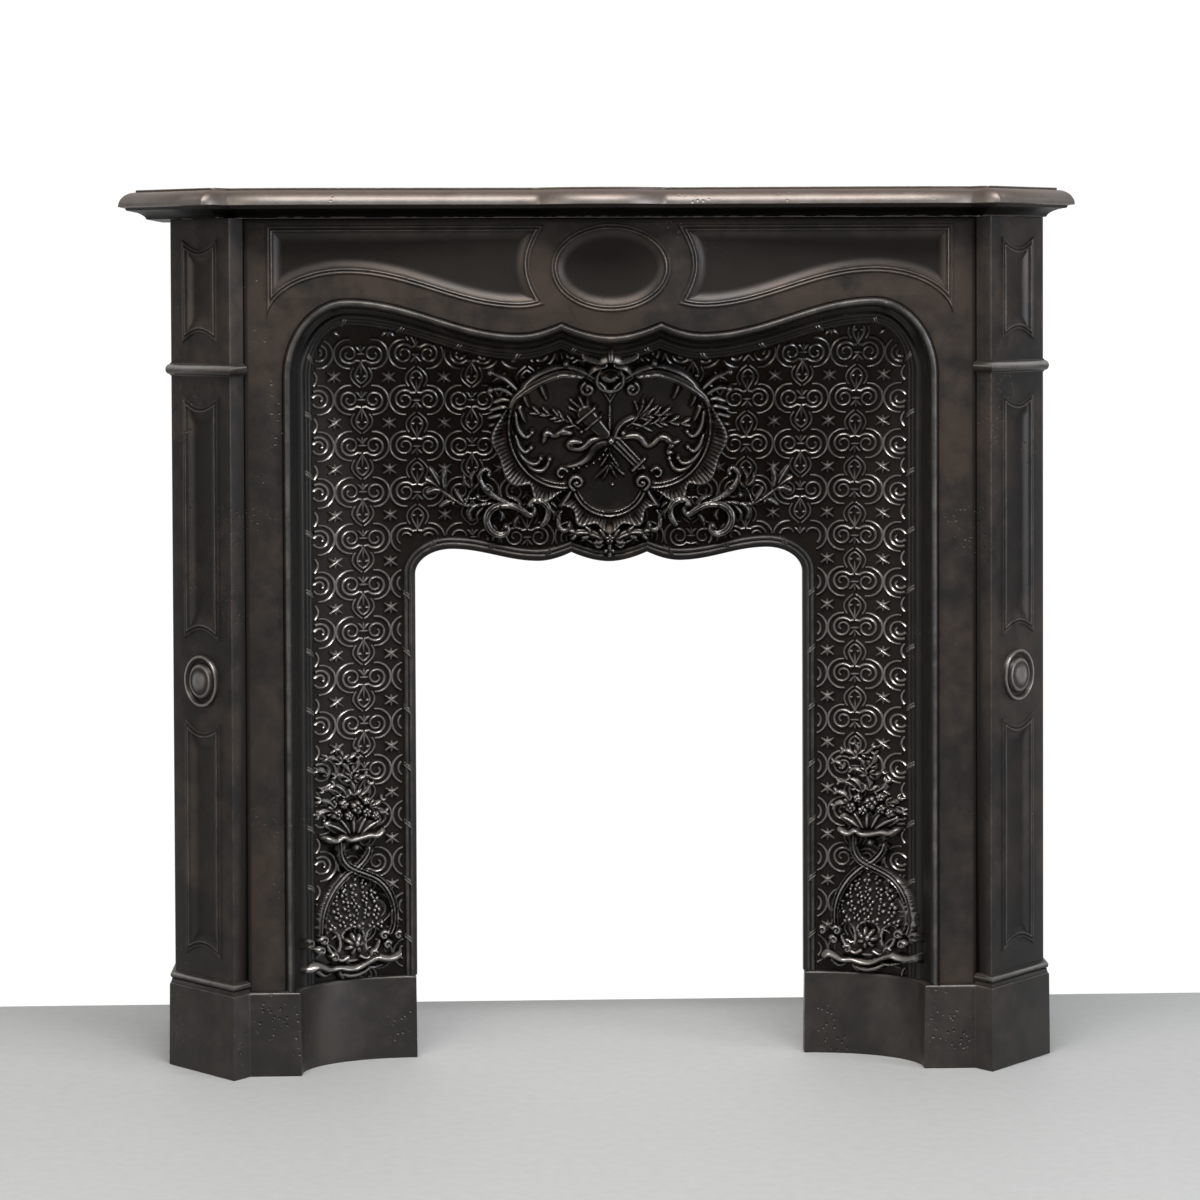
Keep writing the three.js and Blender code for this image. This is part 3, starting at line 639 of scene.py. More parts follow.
# Strokes of one motif, its left half first: a line from the motif's middle, widths and a share of the height
def diaperMotif():
    sizes = diaper
    strokes = []
    turn = np.linspace(0, 1, 34)
    angle = np.radians(-25) - np.radians(560) * turn
    reach = 2.4 + (sizes["curl"] + 1.4 - 2.4) * (1 - turn) ** 0.72
    scroll = aroundMiddle(-sizes["scrollX"], 0, reach, angle)
    scroll[0] = [-1, -9.5]
    strokes.append((scroll, sizes["width"] * (1.15 - 0.35 * turn), 1))
    ring = aroundMiddle(-sizes["scrollX"], 0, sizes["ring"], np.radians(np.linspace(82, 276, 34)))
    strokes.append((ring, sizes["width"] * (0.75 + 0.35 * np.sin(np.pi * turn)), 1))
    frond = places(-7.5 * turn ** 0.8, 2.6 + 7 * turn + 2 * np.sin(np.pi * turn))
    strokes.append((frond, 2.5 * np.sin(np.pi * (0.15 + 0.8 * turn)), 1))
    onion = places(-7.4 * np.sin(np.pi * turn ** 1.5) ** 0.8, -10.5 - 27 * turn)
    strokes.append((onion, sizes["width"] * 0.85 + 0 * turn, 0.9))
    bell = places(-9.5 - 4.5 * np.sin(np.pi * turn ** 0.9) + 8 * turn ** 3, -17.5 - 25 * turn)
    strokes.append((bell, sizes["width"] * 0.8 + 0 * turn, 0.85))
    drop = places(-4.6 + 4.2 * (turn - 0.5), -29.5 + 1.2 * np.cos(np.pi * (turn - 0.5)))
    strokes.append((drop, 2.7 * np.sin(np.pi * (0.12 + 0.76 * turn)), 1.15))
    strokes += [(line * [-1, 1], width, lift) for line, width, lift in strokes]
    bar = places(5.2 * (2 * turn - 1), 0.4)
    strokes.append((bar, 2.1 * np.minimum(1, 8 * np.minimum(turn, 1 - turn) + 0.5), 1.25))
    stem = places(0, 2 + 9.5 * turn)
    strokes.append((stem, 0.9 + 1.3 * (turn > 0.75) * np.sin(np.pi * turn ** 4), 1.1))
    spine = places(0, -11 - 15 * turn)
    strokes.append((spine, 1.9 * np.sin(np.pi * (0.1 + 0.8 * turn)), 0.85))
    return strokes


# Three crossed arms, broad in the middle
def starMotif():
    turn = np.linspace(0, 1, 34)
    arms = []
    for degrees, reach in ((34, 1.0), (146, 1.0), (90, 0.72)):
        line = aroundMiddle(0, 0, diaper["starArm"] * reach * (2 * turn - 1), np.radians(degrees))
        arms.append((line, 1.1 + 2.1 * (1 - np.abs(2 * turn - 1)), 1.4 * reach))
    return arms


# How far a point lies inside the figured field, between the border and the edge of the opening
def fieldReach(x, z):
    away = np.abs(x)
    inset = bead["radius"] + insertSizes["borderEnd"] + 1
    top = outerArch["rise"] - inset + archDrop(outerArch, x)
    side = outerArch["half"] - inset - away
    cornerX = (away - outerArch["crestX"]) / (outerArch["half"] - inset - outerArch["crestX"])
    cornerZ = (z - outerArch["rise"] + outerArch["cornerDrop"]) / (outerArch["cornerDrop"] - inset)
    corner = (1 - np.hypot(cornerX.clip(0), cornerZ.clip(0))) * 30
    width = insertSizes["edgeWidth"] + 1
    over = z - (openingArch["rise"] + width + archDrop(openingArch, x))
    beyond = away - (openingArch["half"] + width)
    outside = np.maximum(over, beyond)
    cartoucheEdge = medallionReach(x, z)[0] - 2
    return np.minimum.reduce([top - z, side, corner, outside, cartoucheEdge])


# Lines with only their runs inside the field kept, each with its first number of points
def cutToField(lines, inside):
    whole = inside.min(1) > 0
    kept = [lines[whole]]
    for line, reach in zip(lines[~whole], inside[~whole]):
        within = np.nonzero(reach > 0)[0]
        for run in np.split(within, np.nonzero(np.diff(within) > 1)[0] + 1):
            if len(run) > 2:
                place = np.linspace(run[0], run[-1], len(line))
                kept.append(sampled(line[run], place, run)[None])
    return np.concatenate(kept)


# Every stroke is repeated over all the columns and rows at once
def diaperRelief(piece):
    sizes = diaper
    columns = np.arange(-6, 6)
    rows = np.arange(-2, sizes["rows"])
    strokes = [(stroke, True) for stroke in diaperMotif()] + [(stroke, False) for stroke in starMotif()]
    for (line, width, lift), paired in strokes:
        grid = np.stack(np.meshgrid(columns, rows, indexing="ij"), -1).reshape(-1, 2)
        centre = (grid + [0.5 if paired else 0, 0 if paired else 0.5]) * [sizes["pitchX"], sizes["pitchZ"]]
        centre[:, 1] += sizes["firstRow"]
        flip = np.where(paired & (grid[:, 0] % 2 == 0), -1, 1)
        length = np.linalg.norm(np.diff(line, axis=0), axis=1).sum()
        keep = np.linspace(0, len(line) - 1, int(np.clip(length / 2.4, 5, 34))).round().astype(int)
        lines = centre[:, None] + line[keep] * places(1, flip)[:, None]
        inside = fieldReach(lines[..., 0], lines[..., 1])
        lines = cutToField(lines, inside)
        if len(lines):
            coveRidges(piece, lines, width[keep], lift * sizes["height"], 1.1 if paired else 1.6)


# Carving: a height over the cove on a fine grid, raised stroke by stroke

# A height well under the cove, where a shape has nothing to show
hidden = -9.0

# The height where nothing is carved, how steeply a shape falls outside its edge, the power that rounds
# a stroke, how far apart heights are compared and how much they differ for full wear above and full painted
# shade below, and the thickness
carvingSizes = {
    "ground": -3.0, "fall": 2.2, "roundness": 0.55, "wearAndShadeSteps": 3, "wearAndShadeHeight": 1.4, "back": 6.0,
}


class Carving:

    # A grid between two corners; over the fire opening it starts at the arch
    def __init__(self, low, high, step, stride=6):
        counts = [int(np.ceil((high[axis] - low[axis]) / step / stride)) * stride + 1 for axis in (0, 1)]
        self.stride = stride
        self.x, share = np.meshgrid(np.linspace(low[0], high[0], counts[0]), np.linspace(0, 1, counts[1]))
        overOpening = openingArch["rise"] + archDrop(openingArch, self.x) + 1.5
        foot = np.where(np.abs(self.x) < openingArch["half"], np.maximum(low[1], overOpening), low[1])
        self.z = foot + (high[1] - foot) * share
        self.height = np.full(self.x.shape, carvingSizes["ground"])

    def raiseTo(self, height):
        self.height = np.maximum(self.height, height)

    # The part of the grid near a shape
    def window(self, low, high):
        columns = np.nonzero((self.x[0] >= low[0]) & (self.x[0] <= high[0]))[0]
        rows = np.nonzero((self.z.max(1) >= low[1]) & (self.z.min(1) <= high[1]))[0]
        if not len(columns) or not len(rows):
            return None
        return slice(rows[0], rows[-1] + 1), slice(columns[0], columns[-1] + 1)

    # A ridge along a line: its height falls with the distance from the line, as a share of its width
    def stroke(self, line, widths, heights, base=0.0, reeds=0, reedDepth=0.0, flatness=2):
        line = np.asarray(line, float)
        count = len(line)
        widths = np.interp(np.linspace(0, 1, count), np.linspace(0, 1, len(widths)), widths)
        heights = np.interp(np.linspace(0, 1, count), np.linspace(0, 1, len(heights)), heights)
        margin = widths.max() * 1.8 + 2
        where = self.window(line.min(0) - margin, line.max(0) + margin)
        if where is None:
            return
        x, z = self.x[where][..., None], self.z[where][..., None]
        start, step = line[:-1], np.diff(line, axis=0)
        squared = (step ** 2).sum(-1) + 1e-9
        along = (((x - start[:, 0]) * step[:, 0] + (z - start[:, 1]) * step[:, 1]) / squared).clip(0, 1)
        offX = x - start[:, 0] - along * step[:, 0]
        offZ = z - start[:, 1] - along * step[:, 1]
        width = widths[:-1] + (widths[1:] - widths[:-1]) * along
        lift = heights[:-1] + (heights[1:] - heights[:-1]) * along
        away = np.hypot(offX, offZ) / width
        nearest = away.argmin(-1)[..., None]
        away, lift, width = (np.take_along_axis(a, nearest, -1)[..., 0] for a in (away, lift, width))
        shape = lift * np.clip(1 - away ** flatness, 0, 1) ** carvingSizes["roundness"]
        if reeds:
            shape += reedDepth * (np.cos(np.pi * reeds * away) - 1) / 2 * (away < 1)
        outside = -carvingSizes["fall"] * width * (away - 1)
        relief = np.where(away < 1, shape, outside).clip(hidden, None)
        self.height[where] = np.maximum(self.height[where], base + relief)

    # A round dome
    def knob(self, x, z, radius, lift, base=0.0):
        where = self.window((x - 2 * radius, z - 2 * radius), (x + 2 * radius, z + 2 * radius))
        if where is None:
            return
        away = np.hypot(self.x[where] - x, self.z[where] - z) / radius
        outside = -carvingSizes["fall"] * radius * (away - 1)
        dome = np.where(away < 1, lift * np.sqrt(np.clip(1 - away ** 2, 0, 1)), outside)
        self.height[where] = np.maximum(self.height[where], base + dome)

    # Strokes and knobs drawn for the right, put on the sides asked for
    def add(self, strokes, knobs=(), sides=(1,)):
        for side in sides:
            for line, *shape in strokes:
                self.stroke(swung(line, side), *shape)
            for x, *shape in knobs:
                self.knob(side * x, *shape)

    # The carving as a closed shape, fine in front and coarse behind
    def finish(self, piece):
        rows, columns = self.x.shape
        shifts = (-carvingSizes["wearAndShadeSteps"], carvingSizes["wearAndShadeSteps"])
        around = sum(np.roll(self.height, shift, axis) for shift in shifts for axis in (0, 1)) / 4
        # Rubbed where the carving stands above its surroundings, painted shade where it lies below them
        wear = ((self.height - around) / carvingSizes["wearAndShadeHeight"]).clip(-1, 1.1) - 0.15
        front = onCove(self.x, self.z, self.height).reshape(-1, 3)
        coarse = np.arange(rows * columns).reshape(rows, columns)[::self.stride, ::self.stride]
        backX, backZ = self.x.ravel()[coarse], self.z.ravel()[coarse]
        back = onCove(backX, backZ, -carvingSizes["back"]).reshape(-1, 3)
        ids = np.arange(rows * columns).reshape(rows, columns)
        backIds = rows * columns + np.arange(coarse.size).reshape(coarse.shape)
        rim, backRim = rimOf(ids), rimOf(backIds)
        steps = np.arange(self.stride, -1, -1)[None] + np.arange(0, len(rim), self.stride)[:, None]
        walls = np.hstack([rim[steps % len(rim)], backRim[:, None], np.roll(backRim, -1)[:, None]])
        wear = np.concatenate([wear.ravel(), np.zeros(coarse.size)])
        faces = [gridFaces(ids), gridFaces(backIds)[:, [0, 3, 2, 1]], walls]
        addShape(piece, np.vstack([front, back]), faces, wear)


# The point numbers round a grid
def rimOf(ids):
    return np.concatenate([ids[0, :-1], ids[:-1, -1], ids[-1, :0:-1], ids[:0:-1, 0]])


# An acanthus leaf: a ribbed blade with lobes that lean forward from its midrib
def leaf(carving, line, width, lift, base=0.0, lobes=4):
    line = smoothed(line)
    blade(carving, line, width * 0.85, lift, base)
    travel = np.gradient(line, axis=0)
    travel /= np.linalg.norm(travel, axis=1, keepdims=True)
    side = places(-travel[:, 1], travel[:, 0])
    widths, heights = [width * 0.3, width * 0.5, width * 0.16], [lift * 0.75, lift, lift * 0.8]
    for place in np.linspace(0.12, 0.8, lobes):
        at = int(place * (len(line) - 1))
        size = width * (1.3 - 0.7 * place)
        for hand in (1, -1):
            tip = line[at] + travel[at] * size * 1.15 + side[at] * hand * size
            bend = line[at] + travel[at] * size * 0.3 + side[at] * hand * size * 0.7
            carving.stroke(smoothed([line[at], bend, tip], 2), widths, heights, base)


# A plain leaf: broad in the middle, with a rib along it and a groove to each side
def blade(carving, line, width, lift, base=0.0):
    widths = np.array([0.25, 0.85, 1, 0.7, 0.12]) * width
    carving.stroke(smoothed(line), widths, np.array([0.7, 1, 1, 0.9, 0.6]) * lift, base, 2, 0.28 * lift)


medallion = {
    "lobeX": 58, "lobeZ": 802.5, "lobeWidth": 64, "lobeHeight": 73, "shieldZ": 734.6, "shieldRadius": 42,
    "fieldLift": 7.0, "frameLift": 6.5, "ruffleLift": 9.0, "ribPitch": 4.3,
    # The frame's two rounds: a place outside the field, a width and a share of the lift
    "mouldings": ((0.5, 1.5, 0.7), (5.2, 2.3, 1.0)),
}


# Distance outside the medallion's field, the angles round its lobe and its shield, and which is nearer
def medallionReach(x, z):
    sizes = medallion
    across = (np.abs(x) - sizes["lobeX"]) / sizes["lobeWidth"]
    up = (z - sizes["lobeZ"]) / sizes["lobeHeight"]
    lobe = (np.hypot(across, up) - 1) * (sizes["lobeWidth"] + sizes["lobeHeight"]) / 2
    lobeAngle = np.degrees(np.arctan2(up, across))
    shield = np.hypot(x, z - sizes["shieldZ"]) - sizes["shieldRadius"]
    shieldAngle = np.degrees(np.arctan2(z - sizes["shieldZ"], np.abs(x)))
    return np.minimum(lobe, shield), lobeAngle, shieldAngle, shield < lobe


def medallionCarving(carving):
    sizes = medallion
    reach, lobeAngle, shieldAngle, onShield = medallionReach(carving.x, carving.z)
    # The field and its double moulded frame
    field = np.where(reach < 0, sizes["fieldLift"] - 2.2 * np.clip(-reach / 9, 0, 1) ** 0.5 + 1.2, hidden)
    mouldings = sum(
        share * np.exp(-((reach - place) / width) ** 2) for place, width, share in sizes["mouldings"])
    frame = sizes["fieldLift"] + sizes["frameLift"] * mouldings
    framed = np.where((reach > -4) & (reach < 8), frame, hidden)
    # The ruffled shell outside the frame: fluted, waved and turned up at its rim
    lower = ease((-lobeAngle + 32) / 46)
    lobeWidth = 6 + 23 * lower - 11 * np.exp(-((lobeAngle + 57) / 6) ** 2) - 17 * ease((-66 - lobeAngle) / 26)
    lobeWave = np.cos(np.radians((lobeAngle + 40) * 360 / 33))
    shieldWave = np.cos(2 * np.pi * (shieldAngle + 90) / 33)
    lobeWidth = lobeWidth + 2.4 * lower * lobeWave
    shieldWidth = 24.5 + 5.5 * shieldWave - 9 * ease((shieldAngle + 14) / 30)
    width = np.where(onShield, shieldWidth, lobeWidth)
    wave = np.where(onShield, shieldWave, lobeWave)
    shieldLength = np.radians(shieldAngle) * (sizes["shieldRadius"] + 12)
    length = np.where(onShield, shieldLength, np.radians(lobeAngle) * (sizes["lobeWidth"] + 14))
    share = (reach - 4) / (width - 4)
    flute = (np.abs(np.sin(np.pi * length / sizes["ribPitch"])) - 0.5) * 1.7 * np.clip(share * 2, 0, 1)
    lip = sizes["ruffleLift"] * (0.8 + 0.2 * wave) * np.clip(share, 0, 1) ** 2
    eye = -3.4 * np.exp(-((share - 0.45) / 0.22) ** 2) * np.clip(wave, 0, 1) ** 2
    ruffle = 6.5 + lip + flute + eye - 5 * (np.clip(share - 0.86, 0, 1) / 0.14) ** 2
    outside = np.where(share > 1, 5 - 2.6 * (reach - width), hidden)
    shell = np.where((share > -0.2) & (share <= 1), ruffle, outside)
    carving.raiseTo(field)
    carving.raiseTo(shell.clip(hidden, None))
    carving.raiseTo(framed)


# What is carved alike on both sides of the cartouche; x is counted from its middle
def cartoucheScrolls(carving):
    base = medallion["fieldLift"]
    strokes = [
        # Volutes where the lobes meet the shield, and the hooks inside them
        (spiral(41, 731, 10, -70, 1.3), [3.2, 3.4, 2.8, 2.2], [8, 9, 9, 8], base + 2),
        (smoothed([(47, 722), (54, 709), (61, 700)]), [2.6, 3.4, 2.2], [6, 6, 4], base + 1, 2, 1),
        (spiral(60, 742, 7.5, 160, -0.75, inner=0.55), [2.2, 2.6, 1.4], [5, 6.5, 4], base),
        # The frame's upper arcs, cut as long acanthus blades
        (smoothed([(33, 871), (58, 875), (84, 868), (106, 853), (122, 838), (125, 822)]),
         [4, 6, 6.4, 5.6, 4, 2], [10, 12, 12, 11, 9, 6], base, 3, 2.4),
        (smoothed([(120, 842), (134, 852), (146, 851)]), [2.6, 2.6, 1.6], [6, 6, 4], 4),
        (smoothed([(116, 850), (132, 866), (147, 872)]), [2.6, 2.6, 1.6], [6, 6, 4], 4),
        # Volutes under the crest and its spreading leaves
        (spiral(27, 853, 8.5, 60, -1.3), [3, 3, 2.4], [7, 7.5, 6], base + 1),
        (smoothed([(2, 893), (11, 888), (21, 890), (34, 894)]),
         [3.4, 4, 3.4, 1.4], [10, 9, 8, 4], base - 2, 2, 1.4),
        (smoothed([(12, 878), (17, 866), (13, 854), (1, 850)]), [3, 3.6, 3.2, 3.4], [8, 8.5, 8, 8], base),
        (smoothed([(5, 885), (19, 881), (28, 868)]), [2.8, 4, 2.2], [8, 9, 6], base, 2, 1.4),
    ]
    knobs = [
        (41, 731, 3.6, 10, base + 2), (150, 850, 4.2, 8, 4), (150, 873, 4.0, 8, 4), (54, 885, 3.8, 8, 5),
        (27, 853, 3, 8.5, base + 1),
    ]
    # Curled leaves along the inside of the frame, each with a bead in its curl
    for line in (
        [(118, 822), (117, 806), (111, 793), (103, 789), (98, 796)],
        [(118, 792), (114, 777), (106, 769), (99, 776)],
        [(116, 776), (110, 763), (100, 755), (91, 755), (87, 762)],
        [(109, 762), (99, 749), (87, 745), (79, 751), (76, 761)],
    ):
        strokes.append((smoothed(line), [2, 3.8, 4.4, 3.4, 2.4], [6, 8, 8.5, 7, 5], base, 1, 1.6))
        knobs.append((*line[-1], 3.6, 8, base))
    for x, z in ((110, 816), (106, 836), (84, 846)):
        line = smoothed([(x + 4, z + 12), (x + 1, z + 3), (x - 4, z - 8)])
        strokes.append((line, [4.4, 3.6, 1], [6, 6, 4], base, 2, 1.4))
    for z, reach in ((836, 20), (826, 24), (816, 26), (806, 25)):
        line = smoothed([(124, z), (134, z + 2), (125 + reach, z - 3)])
        strokes.append((line, [2.4, 3.6, 2.2], [7, 6, 3.5], 3, 2, 1))
    carving.add(strokes, knobs, (1, -1))
    # The crest's cupped shell and the bead over it
    cup = np.hypot(carving.x / 11, (carving.z - 873) / 9.5)
    carving.raiseTo(np.where(cup < 1, base + 3 + 6 * cup ** 2.5, hidden))
    carving.add([(smoothed([(-7, 871), (0, 866), (7, 871)]), [2.2, 3, 2.2], [9, 11, 9], base)])
    carving.knob(0, 894, 4.4, 11, base - 2)


# The trophy: a quiver crossed with a torch, hung from a cord, with ribbons and laurel
def trophy(carving):
    base = medallion["fieldLift"] - 1.5
    strokes = [
        # The quiver and its two bands, then the torch, its rim and its bow of ribbon
        ([(-30, 820), (-6, 793)], [11.6, 7.4], [9, 8], base, 2, 0.8, 6),
        ([(-40, 809), (-19, 828)], [2.8, 2.8], [11, 11], base),
        ([(-30, 800), (-11, 817)], [2, 2], [10.4, 10.4], base),
        ([(9, 783), (37, 753)], [8.8, 7.8], [9, 8.5], base, 3, 3, 4),
        ([(29, 746), (44, 761)], [2.8, 2.8], [10, 10], base),
        (smoothed([(6, 788), (12, 804), (24, 812), (40, 816)]),
         [4.4, 4.6, 4, 2], [7.5, 7.5, 6.5, 5], base, 2, 2),
        # A horn, and the stem of the sprig that hangs below
        (smoothed([(-2, 782), (-18, 778), (-24, 764), (-38, 753), (-56, 750)]),
         [5, 8.4, 6.6, 4.4, 1.2], [7, 9, 8, 6.5, 3], base, 1, 1.6),
        ([(0, 774), (0, 744)], [1.5, 1.1], [5.5, 5], base),
    ]
    # Ribbons, wide and waved
    for line in (
        [(-8, 788), (-22, 786), (-31, 776), (-42, 772), (-53, 778), (-46, 784), (-34, 782)],
        [(-48, 794), (-60, 797), (-70, 789), (-80, 797), (-84, 782)],
        [(10, 786), (26, 791), (38, 790), (45, 778), (53, 777), (62, 788), (72, 788), (79, 780), (88, 783)],
        [(80, 781), (75, 772), (77, 767)],
    ):
        strokes.append((smoothed(line), [3, 5.6, 4.2, 5.6, 2.6], [6, 9.5, 6, 9.5, 5], base, 1, 2, 4))
    # The cord, single knobs, and the beads on the horn's edge
    knobs = [(0, z, 2.0, 5.4) for z in np.arange(787, 841, 3.4)]
    knobs += [
        (43, 749, 3.4, 8), (17, 794, 4.2, 8), (-35, 796, 3.2, 6.5), (2, 784, 6, 10.5), (4, 727, 2.2, 4.4)]
    hornEdge = smoothed([(-4, 774), (-10, 762), (-26, 752), (-46, 748)], 2)
    knobs += [(x, z, 2.1, 7.5) for x, z in hornEdge[::2]]
    carving.add(strokes, [(*knob, base) for knob in knobs])
    # Arrows' feathers, the torch's flames and the leaves of the sprig
    for root, tip in (
        ((-32, 823), (-50, 838)), ((-30, 825), (-40, 845)),
        ((-26, 826), (-28, 843)), ((-34, 819), (-52, 828)),
    ):
        blade(carving, bent(root, tip, (-1, 1)), 3.4, 6, base)
    for tip in ((30, 836), (42, 842), (54, 838), (60, 828)):
        blade(carving, bent((34, 816), tip, (3, -1)), 3.2, 6, base)
    for x, z in ((-19, 735), (-9, 733), (-12, 750), (12, 750), (9, 736), (20, 739)):
        blade(carving, [(x * 0.1, z + 17), (x * 0.55, z + 8), (x, z)], 3.0, 6.5, base)
    # Laurel: a curved stem with pairs of narrow leaves
    branches = [[(-38, 800), (-88, 820)], [(22, 803), (66, 818)], [(34, 800), (90, 806)]]
    for (root, tip), bend in zip(np.array(branches, float), (4, 5, 5)):
        share = np.linspace(0, 1, 9)[:, None]
        stem = root + (tip - root) * share + np.array([0, bend]) * np.sin(np.pi * share)
        carving.stroke(stem, [1.5, 1.2], [4.5, 4], base)
        heading = (tip - root) / np.linalg.norm(tip - root)
        for number, place in enumerate(np.linspace(0.2, 1, 5)):
            at = stem[int(place * 8)]
            for hand in (1, -1):
                away = heading * 11 + np.array([-heading[1], heading[0]]) * hand * (7.5 - number * 0.9)
                line = smoothed([at, at + away * 0.55, at + away * 1.15], 2)
                carving.stroke(line, [1, 3.2, 0.8], [4.5, 7, 4], base, 1, 1)


# A flower with five petals between two acanthus leaves, and a pendant
def cartoucheFoot(carving):
    for angle in np.radians(90 + 72 * np.arange(5)):
        carving.knob(0.4 + 3.6 * np.cos(angle), 658.3 + 3.6 * np.sin(angle), 2.8, 6, 12)
    for side in (1, -1):
        leaf(carving, swung([(6, 656), (20, 663), (35, 667), (50, 663)], side), 7.5, 8, 7, 3)
    strokes = [
        (spiral(13, 651, 6, 100, -1.1), [2.4, 2.2, 1.6], [7, 7, 5], 6),
        (smoothed([(8, 650), (20, 652), (30, 658), (36, 655)]), [2.2, 2.6, 2.2, 1], [6, 6, 5, 3], 5),
    ]
    carving.add(strokes, [(4.5, 642, 3.2, 7, 5)], (1, -1))
    carving.stroke([(0.4, 652), (0.4, 640)], [3.6, 3], [6, 6], 6)
    carving.knob(0.4, 637.5, 3.6, 7, 5)
    carving.knob(0.4, 658.3, 1.9, 8.5, 12)


# An S-scroll of acanthus with its sprays; x is counted from the middle of the surround
def sprayCarving(carving, side):
    strokes = [
        ([(50, 678), (49, 673), (56, 667), (64, 672), (65, 684), (60, 694)],
         [2.4, 3.6, 4, 3.2, 1.6], [8, 10, 10, 8, 5]),
        ([(85, 675), (78, 684), (76, 697), (84, 707), (96, 708), (101, 701)],
         [3, 5, 5.6, 5, 4], [8, 12, 13, 13, 12]),
        ([(99, 701), (93, 694), (100, 687), (110, 695), (123, 702), (141, 702),
          (153, 694), (156, 681), (150, 668), (138, 662), (128, 667), (129, 675)],
         [3.4, 3.6, 4.4, 5, 5.6, 6, 6, 6, 5.4, 4.4, 3.4], [11, 10, 11, 12, 13, 13, 13, 13, 12, 11, 10]),
        ([(128, 705), (138, 707), (153, 718), (163, 731), (164, 741), (158, 748), (151, 746), (152, 740)],
         [3, 4.4, 4.4, 4, 3.4, 3, 2.4], [8, 10, 10, 10, 9, 8, 8]),
        ([(144, 704), (160, 702), (175, 700), (186, 702), (203, 713), (214, 723)],
         [3, 3, 2.6, 2.4, 2.2, 1.8], [8, 7, 6.5, 6, 6, 5]),
        ([(182, 702), (178, 714), (171, 726)], [2, 1.8, 1.8], [5, 5, 5]),
        ([(136, 705), (147, 716), (152, 722)], [2, 2, 2.6], [7, 8, 9]),
    ]
    knobs = [
        (98, 702, 4.4), (131, 674, 4.2), (152, 741, 4), (51, 675, 3.4), (153, 722, 3.6), (166, 713, 3.8),
        (197, 705, 2.6),
    ]
    carving.add(
        [(smoothed(line), widths, heights, 2, 3, 2.2) for line, widths, heights in strokes],
        [(x, z, radius, radius + 8, 2) for x, z, radius in knobs], (side,))
    blades = [
        ([(212, 721), (221, 722), (232, 717)], 5.4, 7), ([(197, 707), (205, 706), (215, 699)], 4, 6),
        ([(208, 722), (211, 734), (206, 748)], 5, 7.5), ([(213, 726), (219, 737), (227, 750)], 5, 7),
        ([(214, 724), (224, 731), (234, 736)], 4, 6), ([(184, 704), (190, 712), (195, 722)], 3.8, 6),
        ([(168, 702), (178, 694), (175, 681)], 5, 7.5), ([(158, 700), (168, 690), (166, 680)], 4, 6),
        ([(172, 722), (164, 730), (168, 741)], 4, 7), ([(173, 724), (175, 735), (170, 745)], 4.2, 8),
        ([(174, 724), (182, 730), (184, 740)], 4, 7), ([(79, 700), (71, 694), (70, 682)], 4, 9),
        ([(83, 704), (72, 704), (66, 696)], 3.4, 7), ([(110, 697), (117, 708), (130, 713)], 4, 8),
        ([(112, 690), (119, 682), (121, 672)], 3.6, 7), ([(140, 697), (134, 688), (138, 680)], 3.6, 7),
    ]
    for line, width, lift in blades:
        blade(carving, swung(line, side), width, lift, 2)


bouquet = {"bellTop": 244, "bellTall": 66, "bellFoot": 126, "bellHalf": 48, "floretHalf": 42, "bellLift": 6}


# How wide the bell of the cage is at a height
def bellShare(z):
    return np.clip((bouquet["bellTop"] - z) / bouquet["bellTall"], 0, 1) ** 0.62


